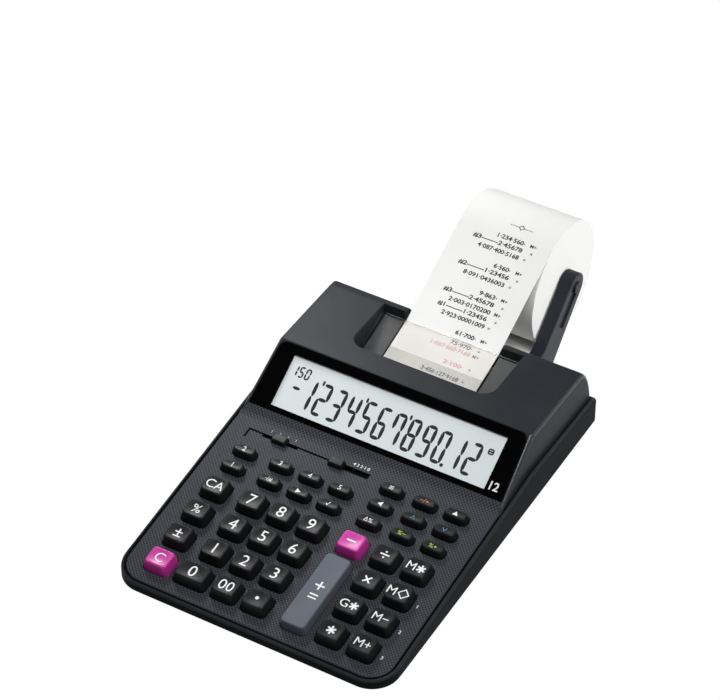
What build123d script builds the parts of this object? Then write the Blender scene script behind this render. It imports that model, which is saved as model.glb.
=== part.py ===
"""Printing desk calculator: a wedge-shaped case with a sprung keypad, a tilted display
and a roll-paper printer fed from a roll on two swinging arms behind the case.

Millimetres. X runs to the right, Y to the back and Z up from the table. The origin is
on the table, in the middle of the whole length from the front edge to the roll.
"""

import os
from math import asin, atan2, cos, degrees, hypot, pi, radians, sin, tan

from build123d import *

os.makedirs("parts", exist_ok=True)

# Case: overall sizes
body_width = 165.0
body_length = 230.0
foot_height = 1.2
foot_diameter = 10.0
foot_inset = 17.0
front_corner_radius = 16.0
bottom_chamfer = 0.6
undercut_start = 6.0
undercut_rise = 9.4

# Case: walls and the joint between its two halves
wall = 2.0
floor_thickness = 1.2
seam_gap = 0.3
seam_lap = 3.0
ledge = 1.5

# Case: side profile
front_rim_height = 7.2
rear_rim_height = 29.0
panel_slope = 8.0
riser_foot = 125.2
riser_slope = 32.3
riser_blend = 12.0
deck_height = 49.3
deck_fall = 2.0
deck_nose_radius = 2.0
deck_tail_radius = 5.0
deck_tail = 9.4
tail_bulge = 2.0
housing_draft = 5.0
housing_bevel = 1.2

# Display
bezel_height = 38.8
bezel_bottom_width = 155.6
bezel_top_width = 152.2
bezel_corner = 5.0
bezel_thickness = 1.2
bezel_gap = 0.2
bezel_rise = 6.1
window_width = 131.5
window_height = 30.3
window_rise = 3.2
lcd_margin = 1.8
lcd_thickness = 2.4

# Keypad: places on the sloped panel, x from the middle and s from the front edge
first_row = 17.2
row_pitch = 18.24
edge_column = -61.3
number_column = -20.4
number_pitch = 18.3
plus_column = 22.3
operator_column = 42.3
memory_column = 61.0
small_row = 89.0
small_pitch = 12.2

# Keys
key_length = 15.0
key_depth = 13.5
key_rise = 6.0
key_corner = 2.2
key_corner_flats = 2
key_taper = 11.5
key_edge = 0.5
wide_key_extra = 4.4
tall_key_taper = 4.0
small_key_length = 14.0
small_key_depth = 7.0
small_key_rise = 4.4
small_key_corner = 2.6
key_travel = 1.5
key_clearance = 0.35
key_lip = 0.8
lip_thickness = 0.7
rest_gap = 0.25

# Key mat and circuit board under the keys
mat_thickness = 0.7
board_thickness = 1.0
board_side_gap = 6.0
board_front = 14.2
board_length = 108.0
board_rib_inset = 5.0
board_rib_width = 2.0

# Slide switches: the middle of each slot, and where its knob stands
switch_row = 117.0
mode_switch_x = -49.0
mode_slot_length = 22.0
mode_slot_width = 2.0
decimal_switch_x = -5.6
decimal_slot_length = 23.0
decimal_slot_width = 3.6
decimal_knob_offset = -8.2
knob_length = 9.0
knob_depth = 5.6
knob_rise = 3.0
knob_stem_length = 6.0
knob_foot = 1.0
bracket_left = -69.0
bracket_row = 117.6
bracket_length = 50.0
bracket_leg = 6.0
groove_width = 1.0
groove_depth = 0.5

# Printer bay in the deck
bay_width = 87.0
bay_front = 178.8
bay_tail = 12.7
bay_corner = 8.0
bay_wall = 1.8
bay_floor_height = 33.0
cover_slope = 16.6
cover_thickness = 1.6
cover_gap = 0.3
cover_ledge = 1.4
cutter_height = 45.6
cutter_inset = 15.2
tooth_pitch = 2.0
tooth_depth = 0.8
notch_drop = 2.8

# Paper, roll and feed
paper_width = 57.5
paper_thickness = 0.3
paper_gap = 0.3
platen_radius = 7.0
platen_inset = 39.7
ink_radius = 6.0
ink_inset = 24.0
ink_height = 30.0
spindle_radius = 2.0
running_gap = 0.08
inlet_height = 5.0
inlet_side_gap = 1.7
roll_radius = 36.7
roll_bore = 6.0
frame_plate = 2.0
frame_side_gap = 1.2
frame_margin = 3.0
frame_base = 1.4
frame_top_gap = 0.6
wing_gap = 1.95
supply_arc = 25.0
strip_end_polar = 74.0

# Roll holder: two arms that swing on lugs behind the case
pivot_reach = 7.3
pivot_height = 10.0
pivot_pin_radius = 2.5
pivot_eye_radius = 5.8
elbow_reach = 30.8
elbow_height = 11.5
elbow_radius = 10.0
hub_reach = 61.5
hub_height = 41.3
tip_radius = 8.5
arm_thickness = 7.4
arm_side_gap = 0.9
hub_length = 5.4
hub_head_radius = 3.4
hub_head_rise = 1.0
arm_channel_width = 7.0
arm_channel_length = 24.0
arm_channel_depth = 1.2
lug_thickness = 4.0
lug_gap = 0.3

# Battery compartment
cell_bay_width = 56.0
cell_bay_length = 60.0
cell_bay_height = 14.6
cell_bay_wall = 1.2
door_gap = 0.3
door_flange = 1.6
door_flange_thickness = 0.8
grip_count = 4
grip_pitch = 3.0
grip_length = 20.0
grip_width = 1.4
grip_depth = 0.4
grip_inset = 12.0

# Power inlet
inlet_bore = 3.2
power_inlet_x = -62.0
power_inlet_z = 15.0

# Places that follow from the sizes above
front_y = -(body_length + hub_reach + roll_radius) / 2
rear_y = front_y + body_length
middle_y = (front_y + rear_y) / 2
floor_top = foot_height + floor_thickness
upper_inset = wall + seam_gap
panel_tilt = radians(panel_slope)
panel_normal = (0, -sin(panel_tilt), cos(panel_tilt))
panel = Plane(origin=(0, front_y, front_rim_height), x_dir=(1, 0, 0), z_dir=panel_normal)
seam_bend_y = front_y + (rear_rim_height - front_rim_height) / tan(panel_tilt)
riser_tilt = radians(riser_slope)
riser_y = front_y + riser_foot
riser_z = front_rim_height + riser_foot * tan(panel_tilt)
riser = Plane(
    origin=(0, riser_y, riser_z),
    x_dir=(1, 0, 0),
    z_dir=(0, -sin(riser_tilt), cos(riser_tilt)),
)
deck_front_y = riser_y + (deck_height - riser_z) / tan(riser_tilt)
deck_rear_y = rear_y - deck_tail
reach = body_width + body_length
undercut = Plane(
    origin=(body_width / 2, front_y + undercut_start, foot_height),
    z_dir=(1, undercut_rise / (body_length - undercut_start), -1),
)
board_width = body_width - 2 * (wall + ledge + board_side_gap)
board_rib_x = board_width / 2 - board_rib_inset


def finish(sub_part, name):
    """Names a finished piece and writes it out."""
    sub_part.label = name
    export_step(sub_part, f"parts/{name}.step")


def case_prism(inset, bottom, top, draft=0.0):
    """Upright prism of the case's plan outline, drawn in by inset all round."""
    with BuildPart() as prism:
        with BuildSketch(Plane.XY.offset(bottom)) as outline:
            with Locations((0, middle_y)):
                Rectangle(body_width - 2 * inset, body_length - 2 * inset)
            front_corners = outline.vertices().group_by(Axis.Y)[0]
            fillet(front_corners, radius=front_corner_radius - inset)
        extrude(amount=top - bottom, taper=draft)
    return prism.part


def below_seam(drop):
    """All that lies under the seam line, lowered by drop."""
    with BuildPart() as under:
        with BuildSketch(Plane.YZ):
            with BuildLine():
                Polyline(
                    (front_y - wall, -reach),
                    (front_y - wall, front_rim_height - wall * tan(panel_tilt) - drop),
                    (seam_bend_y, rear_rim_height - drop),
                    (rear_y + wall, rear_rim_height - drop),
                    (rear_y + wall, -reach),
                    close=True,
                )
            make_face()
        extrude(amount=body_width, both=True)
    return under.part


def beyond_undercut(inset):
    """All that lies past the slanted undersides of the case's long sides, moved in by inset."""
    with BuildPart() as past:
        with BuildSketch(undercut.offset(-inset)):
            Rectangle(2 * reach, 2 * reach)
        extrude(amount=reach)
        mirror(about=Plane.YZ)
    return past.part


def case_profile(shrink, bottom_drop):
    """The upper case seen from its side, drawn in by shrink, to bottom_drop under the seam."""
    front = front_y + upper_inset
    rear = rear_y - upper_inset
    front_top = front_rim_height + upper_inset * tan(panel_tilt)
    tail = (deck_rear_y, deck_height - deck_fall)
    with BuildSketch(Plane.YZ) as profile:
        with BuildLine():
            Polyline(
                (front, front_top - bottom_drop),
                (front, front_top),
                (riser_y, riser_z),
                (deck_front_y, deck_height),
                tail,
            )
            SagittaArc(tail, (rear, rear_rim_height), -tail_bulge)
            Polyline(
                (rear, rear_rim_height),
                (rear, rear_rim_height - bottom_drop),
                (seam_bend_y, rear_rim_height - bottom_drop),
                (front, front_top - bottom_drop),
            )
        make_face()
        if shrink:
            offset(amount=-shrink, kind=Kind.INTERSECTION, mode=Mode.REPLACE)
        for corner, radius in (
            ((riser_y, riser_z), riser_blend + shrink),
            ((deck_front_y, deck_height), deck_nose_radius - shrink),
            (tail, deck_tail_radius - shrink),
        ):
            if radius > 0:
                fillet(profile.vertices().sort_by_distance(corner)[0], radius=radius)
    return profile.sketch


def housing_block(shrink, bottom_drop, bevel=0.0):
    """The upper case as a filled block, drawn in by shrink: a plain base and a drafted crown."""
    half_width = body_width / 2 - upper_inset - shrink
    with BuildPart() as base:
        extrude(case_profile(shrink, bottom_drop), amount=half_width, both=True)
        add(case_prism(upper_inset + shrink, -reach, riser_z), mode=Mode.INTERSECT)
    with BuildPart() as crown:
        extrude(case_profile(shrink, rear_rim_height), amount=half_width, both=True)
        add(
            case_prism(upper_inset + shrink, riser_z, deck_height, housing_draft),
            mode=Mode.INTERSECT,
        )
        if bevel:
            across = crown.edges().filter_by_position(
                Axis.Z, deck_height - deck_fall, deck_height
            ).group_by(Axis.X)
            chamfer(across[0] + across[-1], length=bevel)
        add(below_seam(bottom_drop), mode=Mode.SUBTRACT)
    return base.part + crown.part


# Keys: name, column and row of each large key, then of each small one
number_columns = [number_column + step * number_pitch for step in (-1, 0, 1)]
large_keys = [
    ("key_clear", edge_column, 0),
    ("key_sign", edge_column, 1),
    ("key_percent", edge_column, 2),
    ("key_clear_all", edge_column, 3),
    ("key_double_zero", number_columns[1], 0),
    ("key_point", number_columns[2], 0),
    ("key_1", number_columns[0], 1),
    ("key_2", number_columns[1], 1),
    ("key_3", number_columns[2], 1),
    ("key_4", number_columns[0], 2),
    ("key_5", number_columns[1], 2),
    ("key_6", number_columns[2], 2),
    ("key_7", number_columns[0], 3),
    ("key_8", number_columns[1], 3),
    ("key_9", number_columns[2], 3),
    ("key_minus", plus_column, 3),
    ("key_total", operator_column, 0),
    ("key_grand_total", operator_column, 1),
    ("key_times", operator_column, 2),
    ("key_divide", operator_column, 3),
    ("key_memory_plus", memory_column, 0),
    ("key_memory_minus", memory_column, 1),
    ("key_memory_subtotal", memory_column, 2),
    ("key_memory_total", memory_column, 3),
]
small_keys = [
    ("key_rate", edge_column, 0),
    ("key_time", edge_column, 1),
    ("key_date", number_columns[0], 0),
    ("key_shift", number_columns[1], 0),
    ("key_square_root", number_columns[2], 0),
    ("key_cost", number_columns[0], 1),
    ("key_sell", number_columns[1], 1),
    ("key_margin", number_columns[2], 1),
    ("key_change", plus_column, 0),
    ("key_tax_minus", operator_column, 0),
    ("key_tax_plus", memory_column, 0),
    ("key_correct", plus_column, 1),
    ("key_up", operator_column, 1),
    ("key_down", memory_column, 1),
    ("key_print", plus_column, 2),
    ("key_after", operator_column, 2),
    ("key_feed", memory_column, 2),
]

# Each key as name, x, s, length, depth, rise, corner and taper
large_form = (key_rise, key_corner, key_taper)
small_form = (small_key_rise, small_key_corner, key_taper)
tall_form = (key_rise, key_corner, tall_key_taper)
zero_x = number_columns[0] - wide_key_extra / 2
zero_length = key_length + wide_key_extra
tall_row = first_row + row_pitch
tall_depth = key_depth + 2 * row_pitch
keys = [
    ("key_0", zero_x, first_row, zero_length, key_depth, *large_form),
    ("key_plus_equals", plus_column, tall_row, key_length, tall_depth, *tall_form),
]
for name, x, row in large_keys:
    keys.append((name, x, first_row + row * row_pitch, key_length, key_depth, *large_form))
for name, x, row in small_keys:
    s = small_row + row * small_pitch
    keys.append((name, x, s, small_key_length, small_key_depth, *small_form))

# Depths under the panel's face of the key lips, the mat and the board
lip_top = wall + rest_gap
lip_bottom = lip_top + lip_thickness
mat_top = lip_bottom + key_travel + rest_gap
mat_bottom = mat_top + mat_thickness
board_bottom = mat_bottom + board_thickness

# Slide switches: name, middle of the slot, slot length, slot width and knob place
switches = [
    ("mode_knob", mode_switch_x, mode_slot_length, mode_slot_width, mode_switch_x),
    (
        "decimal_knob",
        decimal_switch_x,
        decimal_slot_length,
        decimal_slot_width,
        decimal_switch_x + decimal_knob_offset,
    ),
]

# Printer bay: the cover lies on a slope that ends at the cutter
bay_front_y = front_y + bay_front
bay_rear_y = rear_y - bay_tail
cover_tilt = radians(cover_slope)
cutter_y = rear_y - cutter_inset
cover_plane = Plane(
    origin=(0, cutter_y, cutter_height),
    x_dir=(1, 0, 0),
    z_dir=(0, -sin(cover_tilt), cos(cover_tilt)),
)
cover_length = (cutter_y - bay_front_y - cover_gap) / cos(cover_tilt)
cover_width = bay_width - 2 * cover_gap

# Paper path: the paper's middle line keeps a wrap gap from all that it passes
wrap = paper_gap + paper_thickness / 2
slot_width = paper_width + 2 * inlet_side_gap
platen_wrap = platen_radius + wrap
roll_wrap = roll_radius + wrap
platen_y = rear_y - platen_inset
ink_y = rear_y - ink_inset
hub_y = rear_y + hub_reach
pivot_y = rear_y + pivot_reach
elbow_y = rear_y + elbow_reach


def cover_underside(y):
    """Height of the cover's underside at y."""
    return cutter_height - (cutter_y - y) * tan(cover_tilt) - cover_thickness / cos(cover_tilt)


platen_z = cover_underside(platen_y) - (platen_wrap + wrap) / cos(cover_tilt)
inlet_z = platen_z - platen_wrap
exit_drop = cover_thickness + wrap
paper_exit = (cutter_y + exit_drop * sin(cover_tilt), cutter_height - exit_drop * cos(cover_tilt))
paper_inlet = (rear_y, inlet_z)

# Roll holder: the arms stand just outside the roll, each between two lugs
arm_inner = paper_width / 2 + arm_side_gap
arm_outer = arm_inner + arm_thickness
inner_lug_x = arm_inner - lug_gap - lug_thickness
outer_lug_x = arm_outer + lug_gap

# Battery compartment: the door runs out at the back in a T-shaped slot
cell_rear_y = rear_y - wall - ledge
cell_front_y = cell_rear_y - cell_bay_length
cell_roof_z = floor_top + cell_bay_height + cell_bay_wall
door_half = cell_bay_width / 2 - door_gap - door_flange
door_top = floor_top + door_gap + door_flange_thickness


def roll_tangent(point, side):
    """Where a line from point touches the roll, above (1) or below (-1), and its polar angle."""
    run = hub_y - point[0]
    rise = hub_height - point[1]
    angle = atan2(rise, run) + side * asin(roll_wrap / hypot(run, rise))
    polar = angle + side * pi / 2
    return (hub_y + roll_wrap * cos(polar), hub_height + roll_wrap * sin(polar)), degrees(polar)


def panel_point(s, depth):
    """Y and Z of a point under the key panel."""
    return (
        front_y + s * cos(panel_tilt) + depth * sin(panel_tilt),
        front_rim_height + s * sin(panel_tilt) - depth * cos(panel_tilt),
    )


def draw_key_outline(length, depth, corner):
    """Draws a key's outline, its corners rounded off in short flats."""
    points = []
    for quarter, (right, back) in enumerate(((1, 1), (-1, 1), (-1, -1), (1, -1))):
        for flat in range(key_corner_flats + 1):
            angle = (quarter + flat / key_corner_flats) * pi / 2
            across = right * (length / 2 - corner) + corner * cos(angle)
            along = back * (depth / 2 - corner) + corner * sin(angle)
            points.append((across, along))
    Polygon(*points, align=None)


def draw_bay(margin):
    """Draws the printer bay's plan outline, let out by margin."""
    with Locations((0, (bay_front_y + bay_rear_y) / 2)):
        outline = Rectangle(bay_width + 2 * margin, bay_rear_y - bay_front_y + 2 * margin)
    fillet(outline.vertices().group_by(Axis.Y)[0], radius=bay_corner + margin)


def draw_bezel(margin):
    """Draws the display bezel's outline on the riser, let out by margin."""
    low = bezel_rise - margin
    high = bezel_rise + bezel_height + margin
    half_low = bezel_bottom_width / 2 + margin
    half_high = bezel_top_width / 2 + margin
    corners = ((-half_low, low), (half_low, low), (half_high, high), (-half_high, high))
    outline = Polygon(*corners, align=None)
    fillet(outline.vertices().group_by(Axis.Y)[-1], radius=bezel_corner)


def draw_window(margin):
    """Draws the display window on the riser, let out by margin."""
    with Locations((0, bezel_rise + window_rise + window_height / 2)):
        Rectangle(window_width + 2 * margin, window_height + 2 * margin)


def build_roller(name, y, z, radius, half_length, half_spindle):
    """A roller on its spindle, lying across the case."""
    with BuildPart() as roller:
        with BuildSketch(Plane.YZ):
            with Locations((y, z)):
                Circle(radius)
        extrude(amount=half_length, both=True)
        with BuildSketch(Plane.YZ):
            with Locations((y, z)):
                Circle(spindle_radius)
        extrude(amount=half_spindle, both=True)
    finish(roller.part, name)


# Upper case: the sloped key panel, the display riser and the printer deck in one moulding
case_block = housing_block(0.0, seam_lap, housing_bevel)
with BuildPart() as bay_walls:
    with BuildSketch(Plane.XY.offset(bay_floor_height)):
        draw_bay(bay_wall)
    extrude(amount=deck_height - bay_floor_height)
    add(case_block, mode=Mode.INTERSECT)

with BuildPart() as upper_case:
    add(case_block)
    add(housing_block(wall, seam_lap + 2 * wall), mode=Mode.SUBTRACT)
    add(bay_walls.part)
    with BuildSketch(Plane.XY.offset(bay_floor_height - wall)):
        draw_bay(0.0)
    extrude(amount=deck_height, mode=Mode.SUBTRACT)
    # Ledges that carry the printer cover, and the notch where the paper leaves
    with BuildSketch(cover_plane.offset(-cover_thickness)):
        with GridLocations(bay_width - cover_ledge, 0, 2, 1):
            Rectangle(cover_ledge, cover_length, align=(Align.CENTER, Align.MAX))
    extrude(amount=-bay_wall)
    with BuildSketch(Plane.XY.offset(cutter_height - notch_drop)):
        with Locations((0, bay_rear_y)):
            Rectangle(slot_width, 2 * bay_tail)
    extrude(amount=deck_height, mode=Mode.SUBTRACT)
    # Seat of the display bezel, and the opening behind it
    with BuildSketch(riser.offset(-bezel_thickness)):
        draw_bezel(bezel_gap)
    extrude(amount=2 * bezel_thickness, mode=Mode.SUBTRACT)
    with BuildSketch(riser):
        draw_window(lcd_margin + bezel_gap)
    extrude(amount=-2 * wall, mode=Mode.SUBTRACT)
    # Key holes and switch slots
    with BuildSketch(panel):
        for name, x, s, length, depth, rise, corner, taper in keys:
            play = 2 * key_clearance
            with Locations((x, s)):
                draw_key_outline(length + play, depth + play, corner + key_clearance)
        for name, x, slot_length, slot_depth, knob_x in switches:
            with Locations((x, switch_row)):
                Rectangle(slot_length, slot_depth)
    extrude(amount=-2 * wall, mode=Mode.SUBTRACT)
    # Engraved bracket beside the mode switch
    with BuildSketch(panel):
        with Locations((bracket_left, bracket_row)):
            Rectangle(bracket_length, groove_width, align=(Align.MIN, Align.CENTER))
            Rectangle(groove_width, bracket_leg, align=(Align.MIN, Align.MAX))
    extrude(amount=-groove_depth, mode=Mode.SUBTRACT)
finish(upper_case.part, "upper_case")

# Lower case: a tray whose rim stands round the upper case, with ribs, feet and rear lugs
seam_recess = case_prism(wall, foot_height, reach) - below_seam(seam_lap)
with BuildPart() as lower_case:
    add(case_prism(0.0, foot_height, rear_rim_height))
    add(below_seam(0.0), mode=Mode.INTERSECT)
    chamfer(lower_case.faces().sort_by(Axis.Z)[0].edges(), length=bottom_chamfer)
    add(beyond_undercut(0.0), mode=Mode.SUBTRACT)
    add(case_prism(wall + ledge, floor_top, reach) - beyond_undercut(wall), mode=Mode.SUBTRACT)
    add(seam_recess, mode=Mode.SUBTRACT)
    with BuildSketch():
        with Locations((0, middle_y)):
            with GridLocations(body_width - 2 * foot_inset, body_length - 2 * foot_inset, 2, 2):
                Circle(foot_diameter / 2)
    extrude(amount=foot_height)
    # Ribs that carry the circuit board
    rib_ends = [panel_point(board_front + board_rib_width, board_bottom)]
    rib_ends.append(panel_point(board_front + board_length - board_rib_width, board_bottom))
    for x in (-board_rib_x, board_rib_x):
        with BuildSketch(Plane.YZ.offset(x - board_rib_width / 2)):
            with BuildLine():
                Polyline(
                    (rib_ends[0][0], floor_top),
                    rib_ends[0],
                    rib_ends[1],
                    (rib_ends[1][0], floor_top),
                    close=True,
                )
            make_face()
        extrude(amount=board_rib_width)
    # Battery compartment, and the slot that its door runs in
    with BuildSketch(Plane.XY.offset(floor_top)):
        with Locations((0, cell_rear_y)):
            Rectangle(
                cell_bay_width + 2 * cell_bay_wall,
                cell_bay_length + cell_bay_wall,
                align=(Align.CENTER, Align.MAX),
            )
    extrude(amount=cell_bay_height + cell_bay_wall)
    with BuildSketch(Plane.XY.offset(floor_top)):
        with Locations((0, cell_rear_y)):
            Rectangle(cell_bay_width, cell_bay_length, align=(Align.CENTER, Align.MAX))
    extrude(amount=cell_bay_height, mode=Mode.SUBTRACT)
    with BuildSketch():
        with Locations((0, cell_front_y)):
            Rectangle(2 * (door_half + door_gap), body_length, align=(Align.CENTER, Align.MIN))
    extrude(amount=floor_top, mode=Mode.SUBTRACT)
    with BuildSketch(Plane.XY.offset(floor_top)):
        with Locations((0, cell_rear_y)):
            Rectangle(cell_bay_width, body_length, align=(Align.CENTER, Align.MIN))
    extrude(amount=door_top + door_gap - floor_top, mode=Mode.SUBTRACT)
    # Lugs that the roll holder swings in
    for x in (inner_lug_x, outer_lug_x, -inner_lug_x - lug_thickness, -outer_lug_x - lug_thickness):
        with BuildSketch(Plane.YZ.offset(x)):
            with Locations((pivot_y, pivot_height)):
                Circle(pivot_eye_radius)
                Rectangle(pivot_reach + wall, 2 * pivot_eye_radius, align=(Align.MAX, Align.CENTER))
                Circle(pivot_pin_radius + running_gap, mode=Mode.SUBTRACT)
        extrude(amount=lug_thickness)
    # Paper inlet and power inlet in the rear wall
    with BuildSketch(Plane.XZ.offset(-rear_y)):
        with Locations((0, inlet_z)):
            Rectangle(slot_width, inlet_height)
        with Locations((power_inlet_x, power_inlet_z)):
            Circle(inlet_bore)
    extrude(amount=2 * (wall + ledge), mode=Mode.SUBTRACT)
finish(lower_case.part, "lower_case")

# Battery door: a plate with side flanges that hold it in its slot
with BuildPart() as battery_door:
    with BuildSketch(Plane.XY.offset(foot_height)):
        with Locations((0, cell_front_y + door_gap)):
            Rectangle(
                2 * door_half,
                rear_y - bottom_chamfer - cell_front_y - door_gap,
                align=(Align.CENTER, Align.MIN),
            )
    extrude(amount=door_top - foot_height)
    with BuildSketch(Plane.XY.offset(floor_top + door_gap)):
        with Locations((0, cell_front_y + door_gap)):
            Rectangle(
                2 * (door_half + door_flange),
                cell_bay_length - 2 * door_gap,
                align=(Align.CENTER, Align.MIN),
            )
    extrude(amount=door_flange_thickness)
    with BuildSketch(Plane.XY.offset(foot_height)):
        with Locations((0, rear_y - bottom_chamfer - grip_inset)):
            with GridLocations(0, grip_pitch, 1, grip_count):
                Rectangle(grip_length, grip_width)
    extrude(amount=grip_depth, mode=Mode.SUBTRACT)
finish(battery_door.part, "battery_door")

# Display: a glossy bezel let into the riser, with the liquid crystal panel behind its window
with BuildPart() as display_bezel:
    with BuildSketch(riser.offset(-bezel_thickness)):
        draw_bezel(0.0)
        with Locations((0, bezel_rise + window_rise + window_height / 2)):
            Rectangle(window_width, window_height, mode=Mode.SUBTRACT)
    extrude(amount=bezel_thickness)
finish(display_bezel.part, "display_bezel")

with BuildPart() as lcd_panel:
    with BuildSketch(riser.offset(-bezel_thickness)):
        draw_window(lcd_margin)
    extrude(amount=-lcd_thickness)
finish(lcd_panel.part, "lcd_panel")

# Key mat on the circuit board, both parallel to the key panel
for name, top_depth, thickness in (
    ("key_mat", mat_top, mat_thickness),
    ("circuit_board", mat_bottom, board_thickness),
):
    with BuildPart() as layer:
        with BuildSketch(panel.offset(-top_depth)):
            with Locations((0, board_front)):
                Rectangle(board_width, board_length, align=(Align.CENTER, Align.MIN))
        extrude(amount=-thickness)
    finish(layer.part, name)

# Keys: each a tapered cap on a straight shank, held under the panel by a lip
for name, x, s, length, depth, rise, corner, taper in keys:
    with BuildPart() as key:
        with BuildSketch(panel.offset(-lip_bottom)):
            with Locations((x, s)):
                Rectangle(length + 2 * key_lip, depth + 2 * key_lip)
        extrude(amount=lip_thickness)
        with BuildSketch(panel.offset(-lip_bottom)):
            with Locations((x, s)):
                draw_key_outline(length, depth, corner)
        extrude(amount=lip_bottom)
        with BuildSketch(panel):
            with Locations((x, s)):
                draw_key_outline(length, depth, corner)
        extrude(amount=rise, taper=taper)
        key_top = key.faces().sort_by(Axis(panel.origin, panel.z_dir))[-1]
        chamfer(key_top.edges(), length=key_edge)
    finish(key.part, name)

# Switch knobs: a ridged cap over the slot, a stem through it and a foot under the panel
for name, x, slot_length, slot_depth, knob_x in switches:
    stem_depth = slot_depth - 2 * key_clearance
    with BuildPart() as knob:
        with BuildSketch(panel.offset(rest_gap)):
            with Locations((knob_x, switch_row)):
                Rectangle(knob_length, knob_depth)
        extrude(amount=knob_rise - rest_gap, taper=key_taper)
        with BuildSketch(panel.offset(-lip_top)):
            with Locations((knob_x, switch_row)):
                Rectangle(knob_stem_length, stem_depth)
        extrude(amount=lip_top + rest_gap)
        with BuildSketch(panel.offset(-lip_top)):
            with Locations((knob_x, switch_row)):
                Rectangle(knob_stem_length + 2 * key_lip, slot_depth + 2 * key_lip)
        extrude(amount=-knob_foot)
    finish(knob.part, name)

# Printer cover: a clear plate on the bay's ledges, with the paper cutter along its rear edge
tooth_count = int(paper_width / tooth_pitch)
tooth_base = -tooth_count * tooth_pitch / 2
with BuildPart() as printer_cover:
    with BuildSketch(cover_plane) as outline:
        plate = Rectangle(cover_width, cover_length, align=(Align.CENTER, Align.MAX))
        fillet(plate.vertices().group_by(Axis.Y)[0], radius=bay_corner)
    extrude(amount=-cover_thickness)
    with BuildSketch(cover_plane):
        with BuildLine():
            teeth = [(tooth_base, 0.0)]
            for tooth in range(tooth_count):
                middle = tooth_base + (tooth + 0.5) * tooth_pitch
                teeth.append((middle, -tooth_depth))
                teeth.append((middle + tooth_pitch / 2, 0.0))
            Polyline(*teeth, close=True)
        make_face()
    extrude(amount=-cover_thickness, mode=Mode.SUBTRACT)
finish(printer_cover.part, "printer_cover")

# Printer frame: a tray on the battery compartment's roof, with a plate at each end and a wing
# beside the paper, close under the clear cover
frame_front_y = platen_y - platen_radius - frame_margin
frame_rear_y = ink_y + ink_radius + frame_margin
frame_inner = paper_width / 2 + frame_side_gap
wing_front_z = cover_underside(bay_front_y) - frame_top_gap
wing_rear_z = cover_underside(frame_rear_y) - frame_top_gap
with BuildPart() as wings:
    with BuildSketch():
        draw_bay(-wing_gap)
        with Locations((0, middle_y)):
            Rectangle(2 * frame_inner, body_length, mode=Mode.SUBTRACT)
    extrude(amount=deck_height)
    with BuildSketch(Plane.YZ):
        with BuildLine():
            Polyline(
                (bay_front_y, wing_front_z),
                (frame_rear_y, wing_rear_z),
                (frame_rear_y, wing_rear_z - frame_plate),
                (bay_front_y, wing_front_z - frame_plate),
                close=True,
            )
        make_face()
    extrude(amount=body_width, both=True, mode=Mode.INTERSECT)

with BuildPart() as printer_frame:
    with BuildSketch(Plane.XY.offset(cell_roof_z)):
        with Locations((0, frame_front_y)):
            Rectangle(
                2 * (frame_inner + frame_plate),
                frame_rear_y - frame_front_y,
                align=(Align.CENTER, Align.MIN),
            )
    extrude(amount=frame_base)
    with BuildSketch(Plane.YZ.offset(frame_inner)):
        with BuildLine():
            Polyline(
                (frame_front_y, cell_roof_z),
                (frame_front_y, cover_underside(frame_front_y) - frame_top_gap),
                (frame_rear_y, cover_underside(frame_rear_y) - frame_top_gap),
                (frame_rear_y, cell_roof_z),
                close=True,
            )
        make_face()
        with Locations((platen_y, platen_z), (ink_y, ink_height)):
            Circle(spindle_radius + running_gap, mode=Mode.SUBTRACT)
    extrude(amount=frame_plate)
    mirror(about=Plane.YZ)
    add(wings.part)
finish(printer_frame.part, "printer_frame")

# Rollers of the printer: the platen that feeds the paper, and the ink roller
roller_half = frame_inner - paper_gap
spindle_half = frame_inner + frame_plate + spindle_radius
build_roller("feed_roller", platen_y, platen_z, platen_radius, roller_half, spindle_half)
build_roller("ink_roller", ink_y, ink_height, ink_radius, roller_half, spindle_half)

# Paper roll on its bore, and the paper's run from it: in at the back, round the platen,
# out under the cutter and up over the roll
with BuildPart() as paper_roll:
    with BuildSketch(Plane.YZ):
        with Locations((hub_y, hub_height)):
            Circle(roll_radius)
            Circle(roll_bore, mode=Mode.SUBTRACT)
    extrude(amount=paper_width / 2, both=True)
finish(paper_roll.part, "paper_roll")

top_touch, top_polar = roll_tangent(paper_exit, 1)
low_touch, low_polar = roll_tangent(paper_inlet, -1)
with BuildPart() as paper_strip:
    with BuildSketch(Plane.YZ):
        with BuildLine() as route:
            CenterArc((hub_y, hub_height), roll_wrap, low_polar, supply_arc)
            Line(low_touch, paper_inlet)
            Line(paper_inlet, (platen_y, inlet_z))
            CenterArc((platen_y, platen_z), platen_wrap, -90, -(180 - cover_slope))
            Line(
                (platen_y - platen_wrap * sin(cover_tilt), platen_z + platen_wrap * cos(cover_tilt)),
                paper_exit,
            )
            Line(paper_exit, top_touch)
            CenterArc((hub_y, hub_height), roll_wrap, top_polar, strip_end_polar - top_polar)
        trace(line_width=paper_thickness)
    extrude(amount=paper_width / 2, both=True)
finish(paper_strip.part, "paper_strip")

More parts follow.
